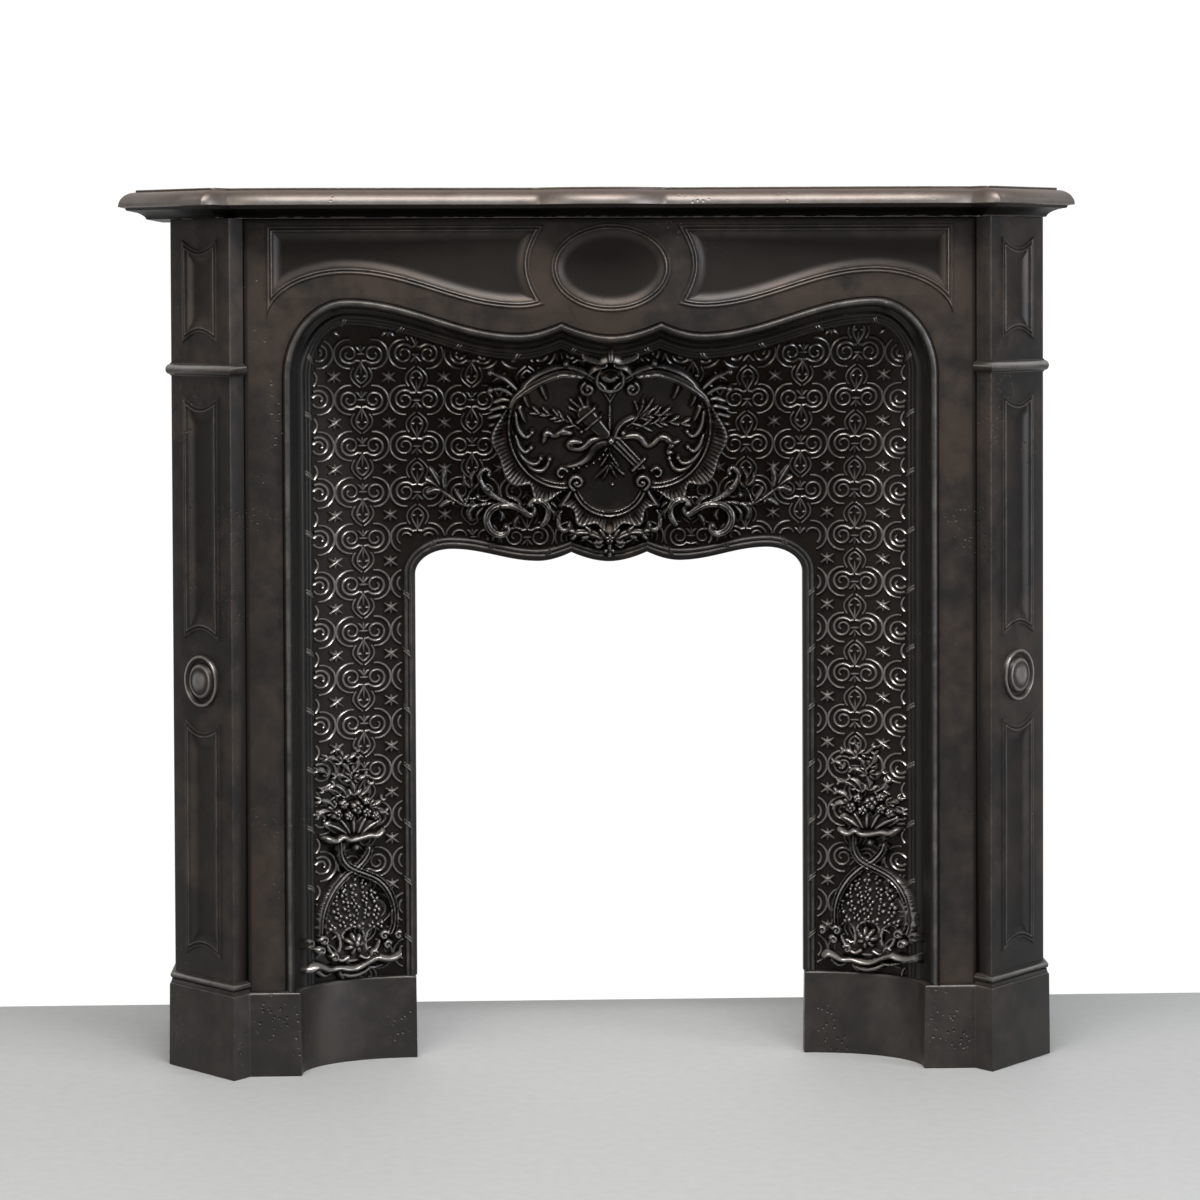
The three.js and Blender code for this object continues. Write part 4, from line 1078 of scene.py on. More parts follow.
# The caged bouquet on a cheek; places are counted from its middle, and heights from the floor
def bouquetCarving(carving, middle):
    chance = np.random.default_rng(7)

    def put(line, widths, heights, base=2.0, reeds=0, reedDepth=0.0):
        carving.stroke(smoothed(line) + [middle, 0], widths, heights, base, reeds, reedDepth)

    # The bell of the cage, domed and set with florets, over dark hollows
    x, z = carving.x - middle, carving.z
    bellHalf = bouquet["bellHalf"] * bellShare(z)
    inBell = (z < bouquet["bellTop"] - 1) & (z > bouquet["bellFoot"]) & (np.abs(x) < bellHalf)
    dome = 1 + bouquet["bellLift"] * (1 - (x / (bellHalf + 1e-6)) ** 2)
    carving.raiseTo(np.where(inBell, dome, hidden))
    for row, height in enumerate(np.arange(172, 236, 10)):
        half = bouquet["floretHalf"] * bellShare(height)
        for place in np.arange(-half + 3 + (row % 2) * 5, half, 12.5):
            shiftX, shiftZ = chance.uniform(-1.8, 1.8, 2)
            lift = 6.5 * (1 - (place / 58) ** 2)
            for petal in chance.uniform(0, 6.28) + np.arange(3) * 2.1:
                carving.knob(
                    middle + place + shiftX + 3.1 * np.cos(petal), height + shiftZ + 2.9 * np.sin(petal),
                    chance.uniform(2.4, 3.2), chance.uniform(4, 6), lift - 1)
    for hollowX, hollowZ, width, tall in ((0, 160, 12, 8), (-27, 150, 9, 16), (27, 150, 9, 16)):
        hollow = np.hypot((x - hollowX) / width, (z - hollowZ) / tall) < 1
        carving.height[hollow] = np.minimum(carving.height[hollow], -1.5)
    # The two straps that cross, each with raised edges
    straps = [
        [(-17, 281), (-18, 274), (-17, 261), (-11, 250), (0, 243), (12, 238),
         (33, 229), (47, 213), (54, 192), (54, 169), (49, 159)],
        [(21, 269), (20, 262), (10, 249), (0, 243), (-9, 238), (-27, 221),
         (-39, 200), (-43, 180), (-42, 165)],
    ]
    for line, rise in zip(straps, (2.5, 0)):
        put(line, [4, 5.2, 5.4, 5.6, 5.6, 5, 4], [9 + rise, 10 + rise, 12 + rise, 12, 12, 11, 9], 1.5, 1, 3.2)
        for hand in (1, -1):
            edge = sidestep(smoothed(line, 2), 4.2 * hand) + [middle, 0]
            carving.stroke(edge, [1.1, 1.1], [12 + rise, 12.5], 1)
    # The rosette in the arch, and the curls beside it
    for turn in range(7):
        angle = 2 * np.pi * turn / 7
        petal = [(reach * np.cos(angle), 149 + reach * np.sin(angle)) for reach in (7, 12)]
        put([(0, 146), *petal], [2, 4.4, 2.2], [12, 15, 11])
    carving.knob(middle + 2, 150, 6.5, 18, 2)
    for side in (1, -1):
        for curlX, curlZ, radius in ((40, 157, 5.4), (44, 145, 4.6), (59, 157, 4.8), (26, 134, 5)):
            curl = spiral(middle + side * curlX, curlZ, radius, 90 - 60 * side, 1.1 * side)
            carving.stroke(curl, [3, 2.6], [12, 12], 2)
            carving.knob(middle + side * curlX, curlZ, 2.4, 13, 2)
        stem = swung([(8, 133), (18, 128), (30, 140), (34, 150)], side)
        put(stem, [4, 4.4, 3.6, 2.4], [12, 12, 10, 8], 2, 1, 2)
    # The base: a rolling ledge whose crest is bright, over hollows
    put([(-56, 124), (-51, 128), (-42, 124), (-33, 119), (-20, 121), (-8, 117), (4, 117),
         (16, 124), (30, 131), (40, 128), (50, 127), (60, 131), (68, 140)],
        [5, 6.4, 6, 5.6, 6, 5.6, 6, 6.4, 6, 5, 3], [13, 16, 15, 13, 14, 14, 16, 18, 16, 15, 10], 1.5, 1, 2.4)
    put([(-14, 112), (-4, 109), (10, 111), (20, 117)], [4, 4.6, 4, 3], [10, 11, 10, 8])
    for line in (
        [(-20, 121), (-17, 111), (-12, 106)], [(14, 122), (24, 116), (38, 120)],
        [(-46, 120), (-38, 112), (-28, 115)],
    ):
        put(line, [3.6, 3.6, 2], [10, 9, 6], 1.5, 1, 1.6)
    # The canopy: a rippled edge under broad leaves, with a drop below it
    put([(-36, 286), (-29, 282), (-22, 281), (-15, 287), (-7, 281),
         (3, 282), (12, 284), (21, 286), (31, 284), (39, 290)],
        [3.4, 4.6, 4.6, 4.4, 5, 4.6, 4.6, 4.6, 3.4], [13, 17, 16, 18, 16, 17, 16, 17, 13])
    for root, tip, width in (
        ((-6, 286), (-33, 303), 8), ((-4, 287), (-18, 308), 7), ((0, 288), (0, 309), 7.5),
        ((5, 287), (17, 309), 7), ((8, 286), (36, 304), 8),
    ):
        blade(carving, bent(root, tip, (0, 2.5)) + [middle, 0], width, 11, 2)
    carving.knob(middle + 4, 271, 4.8, 10, 3)
    # Flowers over it, then looser leaves
    for flowerX, flowerZ, radius in (
        (-21, 314, 6.5), (-6, 311, 6), (5, 321, 8), (18, 314, 6), (29, 310, 5.5), (-12, 326, 5.5),
        (17, 329, 5),
    ):
        for petal in 6.28 * (np.arange(5) + chance.uniform()) / 5:
            carving.knob(
                middle + flowerX + radius * 0.6 * np.cos(petal), flowerZ + radius * 0.6 * np.sin(petal),
                radius * chance.uniform(0.42, 0.56), chance.uniform(6, 9), 6)
        carving.knob(middle + flowerX, flowerZ, radius * 0.34, 11, 6)
    for root, tip, width in (
        ((-24, 318), (-46, 314), 4.5), ((-22, 322), (-43, 334), 4.5), ((24, 318), (46, 313), 4.5),
        ((22, 322), (40, 331), 4.5), ((-6, 334), (-26, 352), 5), ((2, 336), (-4, 358), 5),
        ((8, 334), (24, 352), 5), ((-14, 338), (-40, 346), 4), ((-2, 356), (-24, 362), 4.4),
        ((2, 358), (20, 362), 4.4), ((-2, 362), (-16, 380), 4.2), ((2, 366), (8, 386), 4.2),
        ((-14, 378), (-34, 386), 4.4), ((-12, 382), (-18, 397), 4), ((-8, 382), (8, 394), 3.6),
        ((-30, 364), (-46, 372), 3.6),
    ):
        shift = np.array([tip[1] - root[1], root[0] - tip[0]]) * 0.18
        leaf(carving, bent(root, tip, shift) + [middle, 0], width, 6.5, 1.5, 2)


insert = newPiece()
insertShell(insert)
borderTies(insert)
finishPiece(insert, "insert_shell", ["insert"], insertIron, sharpAngles["shell"])

pattern = newPiece()
diaperRelief(pattern)
finishPiece(pattern, "insert_diaper", [], insertIron, sharpAngles["pattern"])

# Fields of the carvings: their limits in height and, for the right-hand ones, in x, and their grids' steps
fields = {
    "cartoucheHalf": 155, "cartoucheHeights": (634, 902), "cartoucheStep": 1.08, "carvingStep": 1.1,
    "sprayInner": 46, "sprayOuter": 232, "sprayHeights": (660, 766),
    "bouquetMiddle": 328.6, "bouquetHalf": 62, "bouquetTop": 400,
}

cartouche = newPiece()
ends = -fields["cartoucheHalf"], fields["cartoucheHalf"]
mainCarving = Carving(*zip(ends, fields["cartoucheHeights"]), fields["cartoucheStep"])
medallionCarving(mainCarving)
cartoucheScrolls(mainCarving)
trophy(mainCarving)
cartoucheFoot(mainCarving)
mainCarving.finish(cartouche)
finishPiece(cartouche, "insert_cartouche", [], insertIron, sharpAngles["carving"])

sprays = newPiece()
for side in (1, -1):
    ends = sorted((side * fields["sprayInner"], side * fields["sprayOuter"]))
    sprayField = Carving(*zip(ends, fields["sprayHeights"]), fields["carvingStep"])
    sprayCarving(sprayField, side)
    sprayField.finish(sprays)
finishPiece(sprays, "insert_sprays", [], insertIron, sharpAngles["carving"])

bouquets = newPiece()
for side in (1, -1):
    middle, half = side * fields["bouquetMiddle"], fields["bouquetHalf"]
    corners = (middle - half, castings["foot"]), (middle + half, fields["bouquetTop"])
    bouquetField = Carving(*corners, fields["carvingStep"])
    bouquetCarving(bouquetField, middle)
    bouquetField.finish(bouquets)
finishPiece(bouquets, "insert_bouquets", [], insertIron, sharpAngles["carving"])
print("insert made")


# Flat castings: lines in a plane

# A side of an outline moved inwards, with its ends carried straight on
def movedSide(line, distance, carry=14):
    steps = [line[0] - line[1], line[-1] - line[-2]]
    ends = [end + step / np.linalg.norm(step) * carry for end, step in zip((line[0], line[-1]), steps)]
    return sidestep(np.vstack([ends[:1], line, ends[1:]]), distance)


# Where the last crossing of two lines lies, as a place along each
def crossing(first, second):
    start, step = first[:-1, None], np.diff(first, axis=0)[:, None]
    other, turn = second[None, :-1], np.diff(second, axis=0)[None]
    spread = step[..., 0] * turn[..., 1] - step[..., 1] * turn[..., 0]
    spread = np.where(np.abs(spread) < 1e-9, 1e-9, spread)
    gap = other - start
    along = (gap[..., 0] * turn[..., 1] - gap[..., 1] * turn[..., 0]) / spread
    beside = (gap[..., 0] * step[..., 1] - gap[..., 1] * step[..., 0]) / spread
    row, column = np.argwhere((along >= 0) & (along <= 1) & (beside >= 0) & (beside <= 1))[-1]
    return row + along[row, column], column + beside[row, column]


# An outline of several sides moved inwards; the sides are cut where they cross, so its corners stay sharp
def insetLoop(sides, distance):
    lines = [movedSide(side, distance) for side in sides]
    cuts = [crossing(line, lines[(i + 1) % len(lines)]) for i, line in enumerate(lines)]
    ring = []
    for i, line in enumerate(lines):
        place = np.linspace(cuts[i - 1][1], cuts[i][0], len(sides[i]) + 1)[:-1]
        ring.append(sampled(line, place))
    return np.vstack(ring)


# A moulded frame of two fillets round a field that is sunk in a soft hollow: inset, lift and wear, which is
# negative in the hollow for painted shade
def panelProfile(sink):
    fillets = [
        (0.8, 1.6, 0.25), (1.8, 1.8, 0.5), (2.8, 1.2, 0.1), (3.8, 0.3, 0), (4.4, 0.4, 0),
        (5.2, 1.9, 0.35), (6.2, 2.4, 0.65), (7.2, 1.8, 0.35), (8, 0, 0),
    ]
    share = np.linspace(0.12, 1, 7)
    return [*fillets, *zip(8 + 13 * share, -sink * np.sin(np.pi / 2 * share) ** 0.9, -0.9 * share)]


# A sunk panel laid out in a plane; place turns its points and a lift into points of the casting, and
# shelter is the share of the hollow's painted shade
def sunkPanel(piece, ringAt, place, sink, shadeShare=1.0):
    rings, wearAndShadeLevels = [place(ringAt(0), 0)], [0]
    for inset, lift, wearAndShadeLevel in panelProfile(sink):
        rings.append(place(ringAt(inset), lift))
        wearAndShadeLevels.append(wearAndShadeLevel if wearAndShadeLevel > 0 else wearAndShadeLevel * shadeShare)
    addSheet(piece, rings, wearAndShadeLevels)
    addFlat(piece, [rings[-1]], wearAndShadeLevels[-1])
    return rings[0]


# Front: a flat plate with the arched edge, two sunk panels and a sunk oval

frieze = {
    "margin": 7, "rise": 31, "topMargin": 9, "sideMargin": 29, "tipX": 82, "cornerDrop": 58, "waist": 18,
    "sink": 6, "ovalHalfWidth": 75, "ovalHalfHeight": 55, "ovalDrop": 62,
}


def friezeSides():
    sizes = frieze
    share = np.linspace(0, 1, 41)

    def lower(x):
        return outerArch["rise"] + archDrop(outerArch, x) + bead["radius"] + sizes["rise"]

    left = -(castings["bandOuter"] - sizes["sideMargin"])
    crest = -outerArch["crestX"]
    tip = -(sizes["tipX"] + sizes["waist"])
    top = castings["top"] - sizes["topMargin"]
    tipZ = lower(tip) + 4
    angle = share[:-1] * np.pi / 2
    cornerZ = lower(crest) - sizes["cornerDrop"] * (1 - np.sin(angle))
    corner = places(crest + (left - crest) * np.cos(angle), cornerZ)
    bottomX = crest + (tip + sizes["waist"] - crest) * share
    bottom = np.vstack([corner, places(bottomX, lower(bottomX))])
    bottom[-1, 1] = tipZ
    waist = places(-sizes["tipX"] - sizes["waist"] * np.sin(np.pi * share), tipZ + (top - tipZ) * share)
    upper = places(-sizes["tipX"] + (left + sizes["tipX"]) * share, top)
    side = places(left, top + (bottom[0, 1] - top) * share)
    return [bottom, waist, upper, side]


def ovalRing(inset):
    angle = np.linspace(0, 2 * np.pi, 97)[:-1]
    across, up = frieze["ovalHalfWidth"] - inset, frieze["ovalHalfHeight"] - inset
    return places(across * np.cos(angle), castings["top"] - frieze["ovalDrop"] + up * np.sin(angle))


# The face is filled round its three panels; the strip along its outer edge carries a painted shadow, darkest
# at the edge, beside the pilasters and under the shelf
def frontPlate(piece):
    face, foot, top = castings["returnDepth"], castings["foot"], castings["top"]
    sides = friezeSides()
    edge = castings["bandOuter"] + 0.2
    inner = edge - frieze["margin"]

    def place(ring, lift):
        return places(ring[:, 0], face - lift, ring[:, 1])

    def outline(arris, depth):
        arch = archLine(outerArch, -(bead["radius"] + castings["gap"] + arris), castings["foot"])
        corners = [(inner, foot), (edge, foot), (edge, top), (-edge, top), (-edge, foot), (-inner, foot)]
        return place(np.vstack([arch, corners]), face - depth)

    holes = [
        sunkPanel(piece, lambda inset: insetLoop(sides, inset), place, frieze["sink"]),
        sunkPanel(piece, lambda inset: insetLoop(sides, inset) * [-1, 1], place, frieze["sink"]),
        sunkPanel(piece, ovalRing, place, frieze["sink"]),
    ]
    rings = [outline(1.6, face), outline(0.7, face + 0.3), outline(0.15, face + 0.9), outline(0, face + 2)]
    rings.append(outline(0, face + castings["wall"]))
    low = top - frieze["margin"]
    margin = place(np.array([(inner, foot), (inner, low), (-inner, low), (-inner, foot)], float), 0)
    outside = rings[0][-5:-1]
    addFlat(piece, [np.vstack([rings[0][:-6], margin]), *holes])
    # Painted shadow: from -0.3 inside the strip to near black at the outer edge
    addSheet(piece, [margin, outside], [-0.3, -1.8], False)
    addSheet(piece, rings, [0, 0.3, 0.3, 0, 0])
    addFlat(piece, [rings[-1]])


# Pilasters

pilaster = {
    "returnWidth": 15, "cantWidth": 80, "cantDepth": 87, "astragalHeight": 16, "astragalDrop": 187,
    "astragalOut": 7, "footHeight": 14, "footOut": 6, "panelWidth": 70, "panelArc": 13, "panelSink": 4.6,
    "panelGap": 25, "panelShadeShare": 0.35, "bossRadius": 33, "bossHeight": 488, "arris": 1.6,
}
pilaster["cornerX"] = castings["bandOuter"] + pilaster["returnWidth"]
pilaster["bodyHalf"] = pilaster["cornerX"] + pilaster["cantWidth"]
pilasterLine = np.array([
    (pilaster["bodyHalf"], castings["bodyDepth"]), (pilaster["bodyHalf"], pilaster["cantDepth"]),
    (pilaster["cornerX"], 0), (castings["bandOuter"], castings["returnDepth"]),
], float)


# Places on the canted face: across from its middle, up, and a lift square to it
def ontoCant(ring, lift):
    along = np.array([pilaster["cantWidth"], pilaster["cantDepth"]], float)
    along /= np.linalg.norm(along)
    middle = pilasterLine[1:3].mean(0)
    plan = middle + ring[:, :1] * along + lift * np.array([along[1], -along[0]])
    return atHeight(plan, ring[:, 1])


def shaftSides(bottom, top):
    half, share = pilaster["panelWidth"] / 2, np.linspace(0, 1, 25)
    arc = pilaster["panelArc"] * np.sin(np.pi * share)
    across = half * (2 * share - 1)
    return [
        places(across, bottom + arc), places(half, bottom + (top - bottom) * share),
        places(-across, top - arc), places(-half, top + (bottom - top) * share),
    ]


# Points of the line in plan with its corners rounded off
def roundedCorners(line, radius, count=4):
    points = [line[:1]]
    for before, corner, after in zip(line[:-2], line[1:-1], line[2:]):
        start = corner + (before - corner) / np.linalg.norm(before - corner) * radius
        end = corner + (after - corner) / np.linalg.norm(after - corner) * radius
        share = np.linspace(0, 1, count)[:, None]
        points.append((1 - share) ** 2 * start + 2 * share * (1 - share) * corner + share ** 2 * end)
    return np.vstack([*points, line[-1:]])


# A moulding carried along a line in plan, from its steps out from the line and heights
def carriedMoulding(piece, line, profile, wear):
    columns = np.stack([atHeight(sidestep(line, out), height) for out, height in profile], 1)
    addSheet(piece, columns)
    piece["wear"][-1] = np.tile(wear, len(columns)).astype(float)
    addFlat(piece, [columns[0]])
    addFlat(piece, [columns[-1]])


def pilasterCasting(piece):
    sizes = pilaster
    foot, top = castings["foot"], castings["top"]
    line = roundedCorners(pilasterLine, sizes["arris"])
    outer = np.vstack([line, sidestep(pilasterLine, -castings["wall"])[::-1]])
    rings = [atHeight(outer, height) for height in (foot, top)]
    addFlat(piece, [rings[0]])
    addFlat(piece, [rings[1]])
    # Worn points on the front arris, and a painted shadow at the one in the corner with the band
    wearAndShadeLevel = {6: 0.55, 7: 0.55, 9: -1.7}
    # The canted face, from point 4 to point 5, stays open here and is filled round its panels
    edges = np.array([rings[0][4], rings[0][5], rings[1][5], rings[1][4]])
    for i in [number for number in range(len(outer)) if number != 4]:
        j = (i + 1) % len(outer)
        addSheet(piece, [[rings[0][i], rings[0][j]], [rings[1][i], rings[1][j]]], 0.0, False)
        piece["wear"][-1] = np.array([wearAndShadeLevel.get(i, 0.0), wearAndShadeLevel.get(j, 0.0)] * 2)
    astragalZ, half = top - sizes["astragalDrop"], sizes["astragalHeight"] / 2
    gap, reach = sizes["panelGap"], sizes["bossRadius"] + 0.7 * sizes["panelGap"]
    spans = [
        (foot + sizes["footHeight"] + gap, sizes["bossHeight"] - reach),
        (sizes["bossHeight"] + reach, astragalZ - half - gap),
        (astragalZ + half + gap, top - gap),
    ]

    def shaftPanel(low, high):
        sides = shaftSides(low, high)
        return sunkPanel(
            piece, lambda inset: insetLoop(sides, inset), ontoCant, sizes["panelSink"], sizes["panelShadeShare"])

    addFlat(piece, [edges, *(shaftPanel(low, high) for low, high in spans)])
    # The boss: two rings round a dome, each step an inset, a lift and the wear, negative in the groove for
    # painted shade
    angle = np.linspace(0, 2 * np.pi, 57)[:-1]
    steps = [
        (0, -2, 0), (0.4, 2.4, 0.3), (1.6, 4.2, 0.9), (3.2, 4.6, 1.1), (4.8, 3.4, 0.3), (6.4, 0.4, -0.5),
        (8.4, -1.2, -0.8), (10.2, 0.2, -0.5), (11.4, 3.0, 0.2), (13, 4.9, 0.7), (15, 5.4, 0.9),
        (16.6, 4.9, 0.3), (18, 4.9, 0.2), (21, 6.3, 0.5), (25, 7.4, 0.8), (29, 8.0, 0.9), (32, 8.2, 0.9),
    ]
    circles = []
    for inset, lift, _ in steps:
        circle = aroundMiddle(0, sizes["bossHeight"], sizes["bossRadius"] - inset, angle)
        circles.append(ontoCant(circle, lift))
    addSheet(piece, circles, [wearAndShadeLevel for _, _, wearAndShadeLevel in steps])
    addFlat(piece, [circles[0]])
    addFlat(piece, [circles[-1]], 0.7)
    # The astragal is a half-round between two fillets, and the foot moulding a torus
    turn = np.linspace(-np.pi / 2, np.pi / 2, 11)
    astragal = [(-3, -half), (1.2, -half), (1.5, -0.82 * half)]
    astragal += list(zip(1.5 + (sizes["astragalOut"] - 1.5) * np.cos(turn), 0.8 * half * np.sin(turn)))
    astragal += [(1.5, 0.82 * half), (1.2, half), (-3, half)]
    wear = [0, 0, 0, *(0.9 * np.cos(turn - 0.5).clip(0) ** 2), 0, 0, 0]
    carriedMoulding(piece, pilasterLine, [(out, astragalZ + rise) for out, rise in astragal], wear)
    tall, out = sizes["footHeight"], sizes["footOut"]
    torus = [(-3, 0), (out - 1, 0), (out - 2, 0.18 * tall), (out - 2, 0.3 * tall)]
    torus += list(zip(2 + (out - 2) * np.cos(turn), 0.62 * tall + 0.3 * tall * np.sin(turn)))
    torus += [(1, 0.96 * tall), (0.5, tall), (-3, tall)]
    wear = [0, 0.3, 0, 0, *(0.8 * np.cos(turn - 0.5).clip(0) ** 2), 0, 0, 0]
    carriedMoulding(piece, pilasterLine, [(out, foot + rise) for out, rise in torus], wear)


# Plinths: the plan of a pilaster and of the cove, with a little draft

plinth = {"out": 8, "height": 104, "draft": 2}


def plinthBlock(piece):
    sizes = plinth
    angle = np.linspace(0, np.pi / 2, 31)
    deepest = castings["returnDepth"] + castings["coveDepth"]
    coveX = openingArch["half"] + castings["cheekWidth"] * np.cos(angle)
    line = np.vstack([pilasterLine, places(coveX, deepest - castings["coveDepth"] * (1 - np.sin(angle)))])
    outer = sidestep(line, sizes["out"])
    outer[-1, 0] = openingArch["half"]
    outer = roundedCorners(outer[:6], 1.5)[:-1].tolist() + outer[5:].tolist()
    inner = sidestep(line, -castings["wall"])[::-1]
    loop = np.vstack([outer, inner])
    draft, top = sizes["draft"], sizes["height"]
    steps = [
        (0.8, 0, 0.3), (0, 0.9, 0.2), (0.5 * draft, top - 3.4, 0), (0.6 * draft, top - 2.4, 0.2),
        (1.1 * draft, top - 0.9, 0.65), (1.9 * draft, top, 0.3),
    ]
    rings = [atHeight(sidestep(loop, -inset, True), height) for inset, height, _ in steps]
    addSheet(piece, rings, [wearAndShadeLevel for _, _, wearAndShadeLevel in steps])
    addFlat(piece, [rings[0]])
    addFlat(piece, [rings[-1]])


# Shelf: a serpentine line in plan with a moulded rim, over a hollowed bed mould

shelf = {
    "rim": 21, "bed": 15.5, "overhang": 45, "sideOverhang": 50, "cant": 112, "scallopWidth": 30,
    "scallopDepth": 24, "cuspX": 79, "cuspDepth": 30, "bow": 10, "rimWidth": 80, "plate": 10, "offset": 13,
}


def shelfLine(inset):
    sizes = shelf
    half = pilaster["bodyHalf"] + sizes["sideOverhang"]
    corner = half - sizes["cant"]
    crease = corner - sizes["scallopWidth"]
    front = inset - sizes["overhang"]
    mitre = np.tan(np.pi / 8) * inset
    share = np.linspace(0, 1, 17)
    middle = places(sizes["cuspX"] * share, front + sizes["cuspDepth"] * share ** 2.2)
    share = np.linspace(0, 1, 61)[1:]
    bowed = front + sizes["cuspDepth"] + (sizes["bow"] - sizes["cuspDepth"]) * ease(share ** 0.8)
    bowed += (sizes["scallopDepth"] - sizes["bow"]) * ((share - 0.8) / 0.2).clip(0) ** 2
    side = places(sizes["cuspX"] + (crease - sizes["cuspX"]) * share, bowed)
    share = np.linspace(0, 1, 13)[1:]
    scallopDepths = front + sizes["scallopDepth"] * (1 - np.sin(np.pi / 2 * share))
    scallop = places(crease + (sizes["scallopWidth"] - mitre) * share, scallopDepths)
    ends = [(half - inset, sizes["cant"] - sizes["overhang"] + mitre), (half - inset, castings["bodyDepth"])]
    return mirrored(np.vstack([middle, side, scallop, ends]))


def shelfCasting(piece):
    sizes, rim = shelf, shelf["rim"]
    bottom = castings["top"] + castings["gap"]
    bed = bottom + sizes["bed"]
    # Steps of an inset, a height and the wear: the hollow under the rim, painted black as shadow, then its
    # round edge
    share = np.linspace(0, 1, 8)
    hollowHeights = bottom + 0.7 * sizes["bed"] * (1 - (1 - share) ** 1.5)
    turn = np.linspace(0, np.pi / 2, 12)
    wearAndShadeLevel = 0.25 + 0.45 * np.cos(turn) ** 3
    steps = [
        *zip(34 - 24 * share ** 1.6, hollowHeights, share - 2.2),
        (8.5, bed - 1.6, -1.0), (1.0, bed - 0.4, 0.5),
        *zip(21 * (1 - np.cos(turn)) + 0.2, bed + 0.86 * rim * np.sin(turn), wearAndShadeLevel),
        (21.6, bed + 0.87 * rim, 0), (21.4, bed + 0.96 * rim, 0.6), (22.2, bed + rim, 0.8),
    ]
    rings = [atHeight(shelfLine(inset) - [sizes["offset"], 0], height) for inset, height, _ in steps]
    addSheet(piece, rings, [wearAndShadeLevel for _, _, wearAndShadeLevel in steps])
    addFlat(piece, [rings[-1]], 0.2)
    half = pilaster["bodyHalf"] + sizes["sideOverhang"] - sizes["rimWidth"]
    deep = castings["bodyDepth"] - sizes["rimWidth"]
    near = sizes["rimWidth"] - sizes["overhang"]
    hole = np.array([(-half, near), (half, near), (half, deep), (-half, deep)], float) - [sizes["offset"], 0]
    recess = [atHeight(hole, height) for height in (bottom, bed + rim - sizes["plate"])]
    addFlat(piece, [rings[0], recess[0]])
    addSheet(piece, recess)
    addFlat(piece, [recess[1]])


plate = newPiece()
frontPlate(plate)
finishPiece(plate, "front_plate", ["front_frame"], frontIron, sharpAngles["plate"], True)

for side, word in ((1, "right"), (-1, "left")):
    for build, name, node, iron in (
        (pilasterCasting, "shaft_", "pilaster_", pilasterIron),
        (plinthBlock, "block_", "plinth_", plinthIron),
    ):
        casting = newPiece()
        build(casting)
        casting["points"] = [points * [side, 1, 1] for points in casting["points"]]
        finishPiece(casting, name + word, [node + word], iron, sharpAngles["moulded"], True)

mantel = newPiece()
shelfCasting(mantel)
finishPiece(mantel, "mantel", ["mantel_shelf"], shelfIron, sharpAngles["moulded"], True)
print("front, pilasters, plinths and shelf made")


# Lights, floor and camera

stageSizes = {
    "floorFront": -9.0, "floorBack": 0.305, "floorHalf": 9.0, "grey": (0.345, 0.350, 0.348), "darker": 0.94,
    "roughness": 0.7,
}


def makeStage():
    sizes = stageSizes
    shader = Shader("studio floor")
    grain = shader.noise(60, 5, 0.6)
    darker = tuple(sizes["darker"] * value for value in sizes["grey"])
    color = shader.blend(shader.between(grain, 0.3, 0.75), sizes["grey"], darker)
    material = shader.surface(Base_Color=color, Roughness=sizes["roughness"])
    half, back, front = sizes["floorHalf"], sizes["floorBack"], sizes["floorFront"]
    mesh = bpy.data.meshes.new("floor")
    corners = [(-half, front, 0), (half, front, 0), (half, back, 0), (-half, back, 0)]
    mesh.from_pydata(corners, [], [(0, 1, 2, 3)])
    mesh.materials.append(material)
    floor = bpy.data.objects.new("floor", mesh)
    bpy.context.scene.collection.objects.link(floor)


lights = [
    ("ceiling light", (0.0, -1.5, 3.1), (0, -0.05, 0.5), (2.4, 1.0), 150, (1.0, 0.985, 0.96)),
    ("window on the right", (2.9, -1.9, 1.5), (0, -0.1, 0.6), (1.0, 2.0), 72, (0.86, 0.91, 1.0)),
    ("wall on the left", (-3.0, -2.2, 1.6), (0, -0.1, 0.6), (1.4, 2.0), 40, (1.0, 0.95, 0.88)),
]


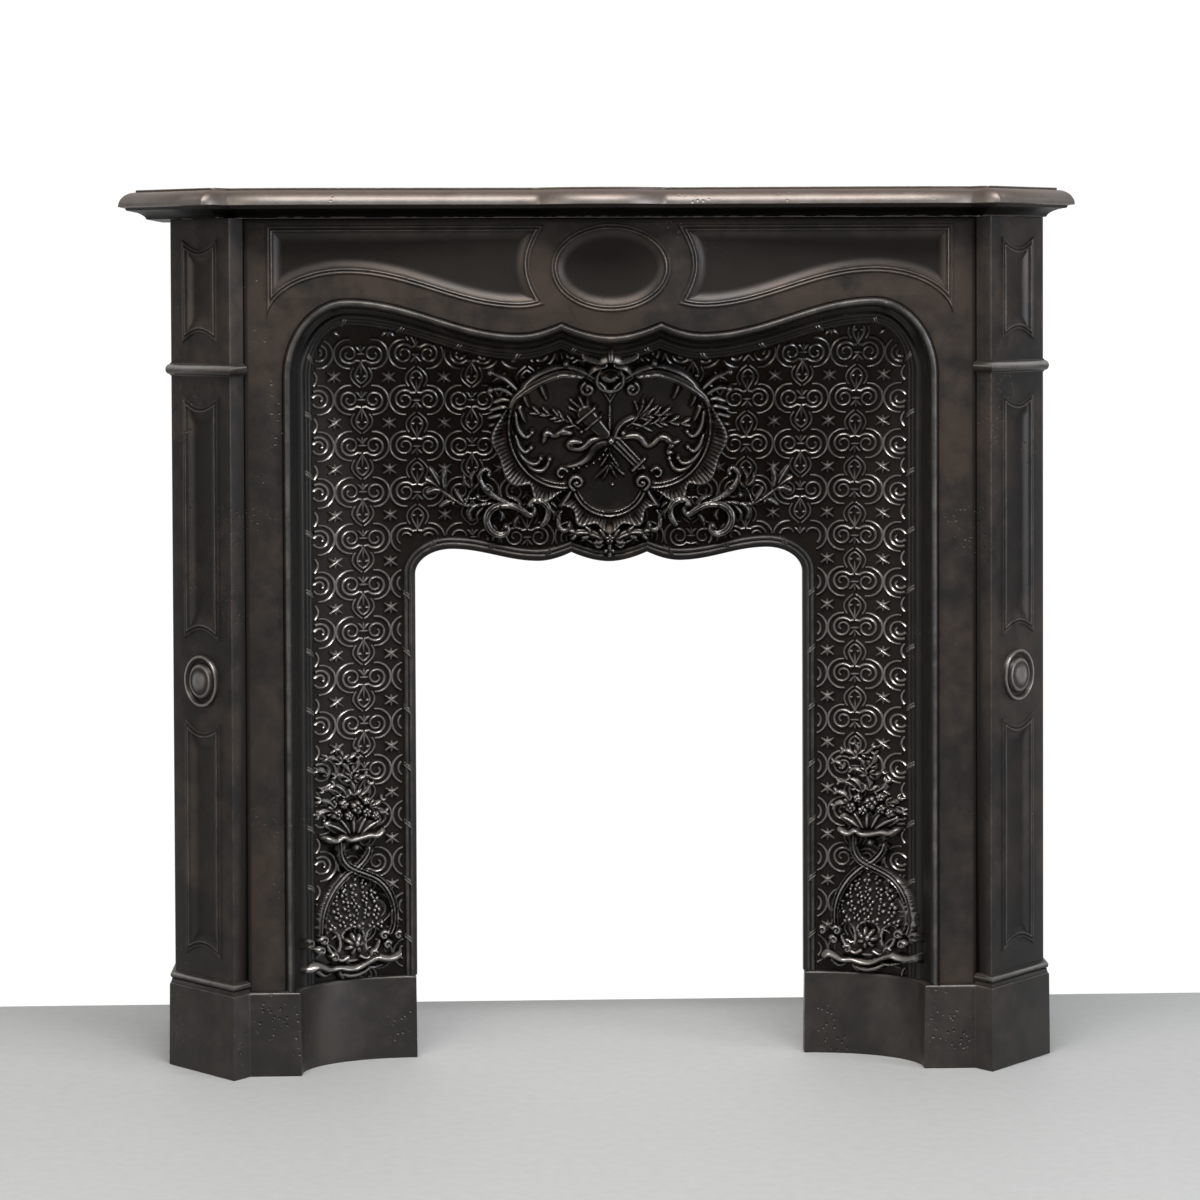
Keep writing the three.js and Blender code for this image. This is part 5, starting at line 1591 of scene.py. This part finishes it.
def areaLight(name, place, target, size, power, color):
    light = bpy.data.lights.new(name, "AREA")
    light.shape, light.size, light.size_y = "RECTANGLE", size[0], size[1]
    light.energy, light.color = power, color
    lamp = bpy.data.objects.new(name, light)
    lamp.location = place
    lamp.rotation_euler = (Vector(target) - Vector(place)).to_track_quat("-Z", "Y").to_euler()
    bpy.context.scene.collection.objects.link(lamp)


# The room's light: bright behind the surround and dim in front of it; blend says where it turns over
worldLooks = {"behind": (1.04, 1.04, 1.04), "before": (0.10, 0.097, 0.095), "blend": (0.2, 0.75)}


def makeWorld():
    world = bpy.data.worlds.new("studio")
    bpy.context.scene.world = world
    world.use_nodes = True
    nodes, links = world.node_tree.nodes, world.node_tree.links
    place = nodes.new("ShaderNodeTexCoord")
    parts = nodes.new("ShaderNodeSeparateXYZ")
    ramp = nodes.new("ShaderNodeMapRange")
    mix = nodes.new("ShaderNodeMix")
    mix.data_type = "RGBA"
    ramp.interpolation_type = "SMOOTHSTEP"
    ramp.inputs["From Min"].default_value, ramp.inputs["From Max"].default_value = worldLooks["blend"]
    mix.inputs[6].default_value = (*worldLooks["before"], 1)
    mix.inputs[7].default_value = (*worldLooks["behind"], 1)
    links.new(place.outputs["Generated"], parts.inputs[0])
    links.new(parts.outputs["Y"], ramp.inputs["Value"])
    links.new(ramp.outputs[0], mix.inputs[0])
    links.new(mix.outputs[2], nodes["Background"].inputs["Color"])


cameraView = {
    "place": (-0.152, -4.2425, 0.983), "pitchDown": 1.47, "turn": -2.09, "roll": -0.22,
    "lens": 100.2, "sensor": 36, "shiftY": -0.194,
}


def makeCamera():
    view = cameraView
    data = bpy.data.cameras.new("camera")
    data.lens, data.sensor_width = view["lens"], view["sensor"]
    data.shift_y = view["shiftY"]
    camera = bpy.data.objects.new("camera", data)
    camera.location = view["place"]
    camera.rotation_euler = (np.radians(90 - view["pitchDown"]), 0, np.radians(view["turn"]))
    camera.rotation_euler.rotate_axis("Z", np.radians(view["roll"]))
    bpy.context.scene.collection.objects.link(camera)
    bpy.context.scene.camera = camera


makeStage()
makeWorld()
for lamp in lights:
    areaLight(*lamp)
makeCamera()
bpy.context.scene.view_settings.view_transform = "Standard"
